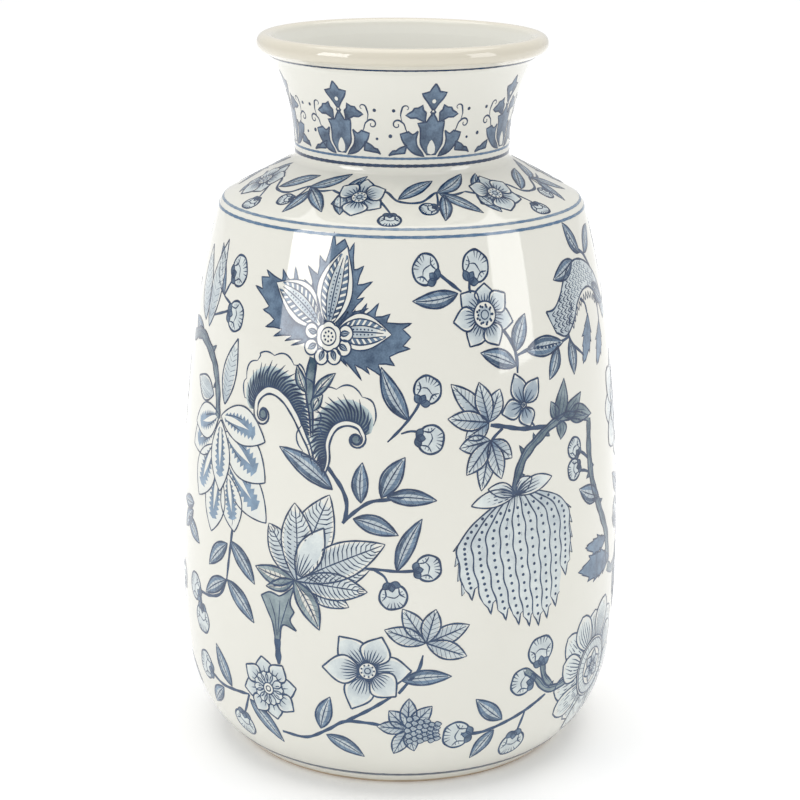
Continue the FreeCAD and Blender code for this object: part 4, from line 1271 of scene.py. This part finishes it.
# ---------------------------------------------------------------------------
# Scaled scroll leaf, wheel flower and the meander of the far side
# Between the two painted faces a scaled scroll leaf, a wheel of ribbed petals and
# another great bloom close the ground, so that the vine runs on round the vase.
# ---------------------------------------------------------------------------
scroll = outline_of([(82, 230.8), (88, 231.2), (94, 236), (100, 243.6), (107, 248.6), (117, 250),
                     (130, 246), (143, 236), (153, 219)],
                    [(146, 217), (138, 228), (128, 235), (118, 235.4), (110, 231), (104, 223.6),
                     (96, 217.8), (88, 220.4)])
fill(scroll, "mid", 1, (0.15, 0.45), (118, 240))
line(scroll, 0.75, layer=2, closed=True)
BOLD_END = 104               # the scales are drawn bolder up to here
scale_places = [np.array((x + 1.6 * (row % 2), 218 + row * 2.7))
                for row in range(13) for x in np.arange(83, 146, 3.4)]
for spot in scale_places:
    scale = rounded([spot + (2.2, 1.35), spot, spot + (2.2, -1.35)], step=0.9)
    if within(scale, scroll).all():
        width, dark = (0.6, 0.95) if spot[0] < BOLD_END else (0.4, 0.6)
        line(scale, width, layer=2, strength=dark)
        line([spot + (1.2, 0), spot + (2.6, 0)], 0.5, layer=2, strength=dark * 0.7)
arch = rounded([(102, 222), (109, 229.6), (118, 233.6), (128, 233), (138, 226)], step=4.2)
for spot, after in zip(arch[:-1], arch[1:]):
    line(rounded([spot, (spot + after) / 2 + (0, -3.4), after]), 0.55, layer=2, strength=0.8)
for spots in (((113, 232), (118, 229), (119.6, 222)), ((131, 231), (136, 226), (136, 216))):
    stem(spots, 1.2)
for base, tip in (((120, 224), (110, 204)), ((136, 218), (126, 200))):
    ragged(base, tip, 9, 2, 5, 1, 0, "deep", (0.6, 0.3))
ragged((134, 100), (101, 102.5), 14, 2.6, 6, 0, 2, "deep", (0.8, 0.4))
ragged((128, 112), (106, 113), 8, 2, 5, 1, 2, "deep", (0.7, 0.4))

WHEEL = np.array((118, 48))
for angle in range(24, 360, 23):
    way = toward(angle)
    petal(WHEEL + way * 11, WHEEL + way * (33 + 3 * math.sin(angle)), 15, 1 + (angle // 23 % 2) * 3,
          (0.25, 0.02), 6, 0.92, 1.5, 0.62, blunt=0.6)
for radius, colour, layer in ((15.5, "white", 8), (14.2, "mid", 9), (9.5, "white", 10)):
    fill(ring(WHEEL, radius), colour, layer, (0.35, 0.15), WHEEL)
    line(ring(WHEEL, radius), 0.6, layer=11, closed=True)
for angle in range(0, 360, 12):
    way = toward(angle)
    line([WHEEL + way * 9.8, WHEEL + way * 14], 0.45, layer=11)
star_flower(WHEEL, star_tips(WHEEL, 8.6, 6, 20, 0.0), 5.5, 2.4, 11, 3, (0.8, 0.2))
thick_stem([(64, 62), (71, 56), (78, 49), (88, 48), (100, 52)], (2.6, 3.0, 3.2, 3.2, 3.0),
           ((0.5, 1, 2.5),))
thick_stem([(74, 64), (76, 56), (82, 49)], (2.6, 2.8, 2.8))

FAR_HEART = np.array((159.0, 172.0))
for serial, tip in enumerate(star_tips(FAR_HEART, 27, 9, 15, 0.1)):
    petal(FAR_HEART, tip, 17, 1 + (serial % 2) * 3, (0.6, 0.05), 7, 0.8, 0.5, 0.6, blunt=0.6)
for serial, tip in enumerate(star_tips(FAR_HEART, 15, 7, 40, 0.1)):
    petal(FAR_HEART, tip, 10, 7 + (serial % 2) * 2, (0.9, 0.3), 3, 0.8, 0.5, 0.6, blunt=0.6)
fill(ring(FAR_HEART, 3.6), "white", 11, (0.2, 0.2))
line(ring(FAR_HEART, 3.6), 0.6, layer=12, closed=True)
for spot in ring(FAR_HEART, 2.0, 1.8):
    dot(spot, 0.5, layer=12)
thick_stem([(131, 96), (140, 92), (150, 96), (158, 110), (160, 130), (159, 150)],
           (4.4, 4, 4, 3.6, 3.2, 3), ((0.3, 1, 3), (0.6, -1, 3)), 0)
for base, tip, width, bend in (
        ((152, 98), (168, 88), 9, 1), ((160, 128), (142, 140), 9, 1), ((160, 120), (178, 130), 9, -1),
        ((150, 96), (146, 76), 9, 1), ((158, 112), (140, 118), 8, 1), ((162, 66), (176, 54), 8, 1),
        ((160, 64), (150, 80), 8, 1), ((168, 232), (172, 250), 8, 1), ((165, 228), (182, 232), 8, -1)):
    leaf(base, tip, width, bend)
stem([(150, 30), (158, 44), (164, 58), (160, 74)], 1.3)
stem([(150, 224), (160, 226), (167, 234), (170, 246)], 1.2)
bud((168, 256), 7.6, 80)
bud((166, 32), 7.8, -60)
star_flower((170, 74), star_tips((170, 74), 14, 6, 10), 11.5, 3.8)
for side, start in (("front", 0), ("back", 180)):
    wrap_marks("belly_" + side, BELLY_RADIUS, lambda v: v, (start,))

# ---------------------------------------------------------------------------
# Studio
# A sweep of white paper with a painted glow of its own, a soft box at the left and a large
# one overhead, two cards that show only as window reflections in the glaze, and the camera.
# ---------------------------------------------------------------------------
def soft_box(name, place, aim, wide, tall, power, shine_only=False):
    """One rectangular studio light turned to face aim; a shine-only one is seen only in reflections."""
    light = bpy.data.lights.new(name, "AREA")
    light.shape = "RECTANGLE"
    light.size = wide
    light.size_y = tall
    light.energy = power
    lamp = bpy.data.objects.new(name, light)
    lamp.location = place
    lamp.rotation_euler = (Vector(aim) - Vector(place)).to_track_quat("-Z", "Y").to_euler()
    lamp.visible_camera = False
    lamp.visible_diffuse = not shine_only
    bpy.context.scene.collection.objects.link(lamp)


FLOOR_REACH = 6.0            # metres from the middle to each side
SHADE_REACH = (0.13, 0.5)    # the paper glows less near the vase, between these distances
SHADE_GLOW = (0.08, 0.24)    # so that the shadow at the foot stays, and the sweep is white

bm = bmesh.new()
bmesh.ops.create_grid(bm, x_segments=1, y_segments=1, size=FLOOR_REACH)
ground = bpy.data.meshes.new("studio_floor")
bm.to_mesh(ground)
bm.free()
studio_floor = bpy.data.objects.new("studio_floor", ground)
bpy.context.scene.collection.objects.link(studio_floor)
paper, tree, shader = new_material("white_paper_sweep_painted_glow")
shader.inputs["Base Color"].default_value = linear("#FBFBFB")
shader.inputs["Roughness"].default_value = 0.9
# Painted glow: the paper gives off light of its own, dimmer near the vase so that the shadow at the foot
# shows, and brighter further out so that the sweep reads white.
shader.inputs["Emission Color"].default_value = linear("#FFFFFF")
away = add(tree, "ShaderNodeVectorMath", {"operation": "LENGTH"},
           _0=add(tree, "ShaderNodeTexCoord").outputs["Object"])
glow = add(tree, "ShaderNodeMapRange", {"interpolation_type": "SMOOTHSTEP"}, Value=away.outputs["Value"],
           From_Min=SHADE_REACH[0], From_Max=SHADE_REACH[1], To_Min=SHADE_GLOW[0], To_Max=SHADE_GLOW[1])
tree.links.new(glow.outputs[0], shader.inputs["Emission Strength"])
studio_floor.data.materials.append(paper)

# name, place, aim and size in metres, power in watts
soft_box("soft_box_left", (-1.31, -0.918, 0.80), (0, 0, 0.80), 0.74, 1.06, 2.6)
soft_box("card_left", (-1.309, -0.917, 0.80), (0, 0, 0.80), 0.74, 1.06, 14, True)
soft_box("card_right", (1.438, -0.70, 0.75), (0, 0, 0.75), 0.64, 1.16, 9, True)
soft_box("soft_box_top", (0.0, 0.2, 2.2), (0, 0, 0.2), 2.4, 2.0, 26.0)

AIR_LIGHT = 0.76             # brightness of the even white light from all round
world = bpy.data.worlds.new("studio_air")
bpy.context.scene.world = world
world.use_nodes = True
sky = world.node_tree.nodes["Background"]
sky.inputs["Color"].default_value = linear("#FFFFFF")
sky.inputs["Strength"].default_value = AIR_LIGHT
bpy.context.scene.view_settings.view_transform = "Standard"

CAMERA_PLACE = (-0.0002, -1.0361, 0.4650)
CAMERA_PITCH = 15.98         # degrees down from level
CAMERA_ROLL = 0.36           # degrees
FOCAL_LENGTH = 97.66         # mm, on a sensor 36 mm wide
lens = bpy.data.cameras.new("camera")
lens.lens = FOCAL_LENGTH
lens.sensor_width = 36.0
camera = bpy.data.objects.new("camera", lens)
bpy.context.scene.collection.objects.link(camera)
camera.matrix_world = (Matrix.Translation(CAMERA_PLACE)
                       @ Matrix.Rotation(math.radians(90 - CAMERA_PITCH), 4, "X")
                       @ Matrix.Rotation(math.radians(CAMERA_ROLL), 4, "Z"))
bpy.context.scene.camera = camera
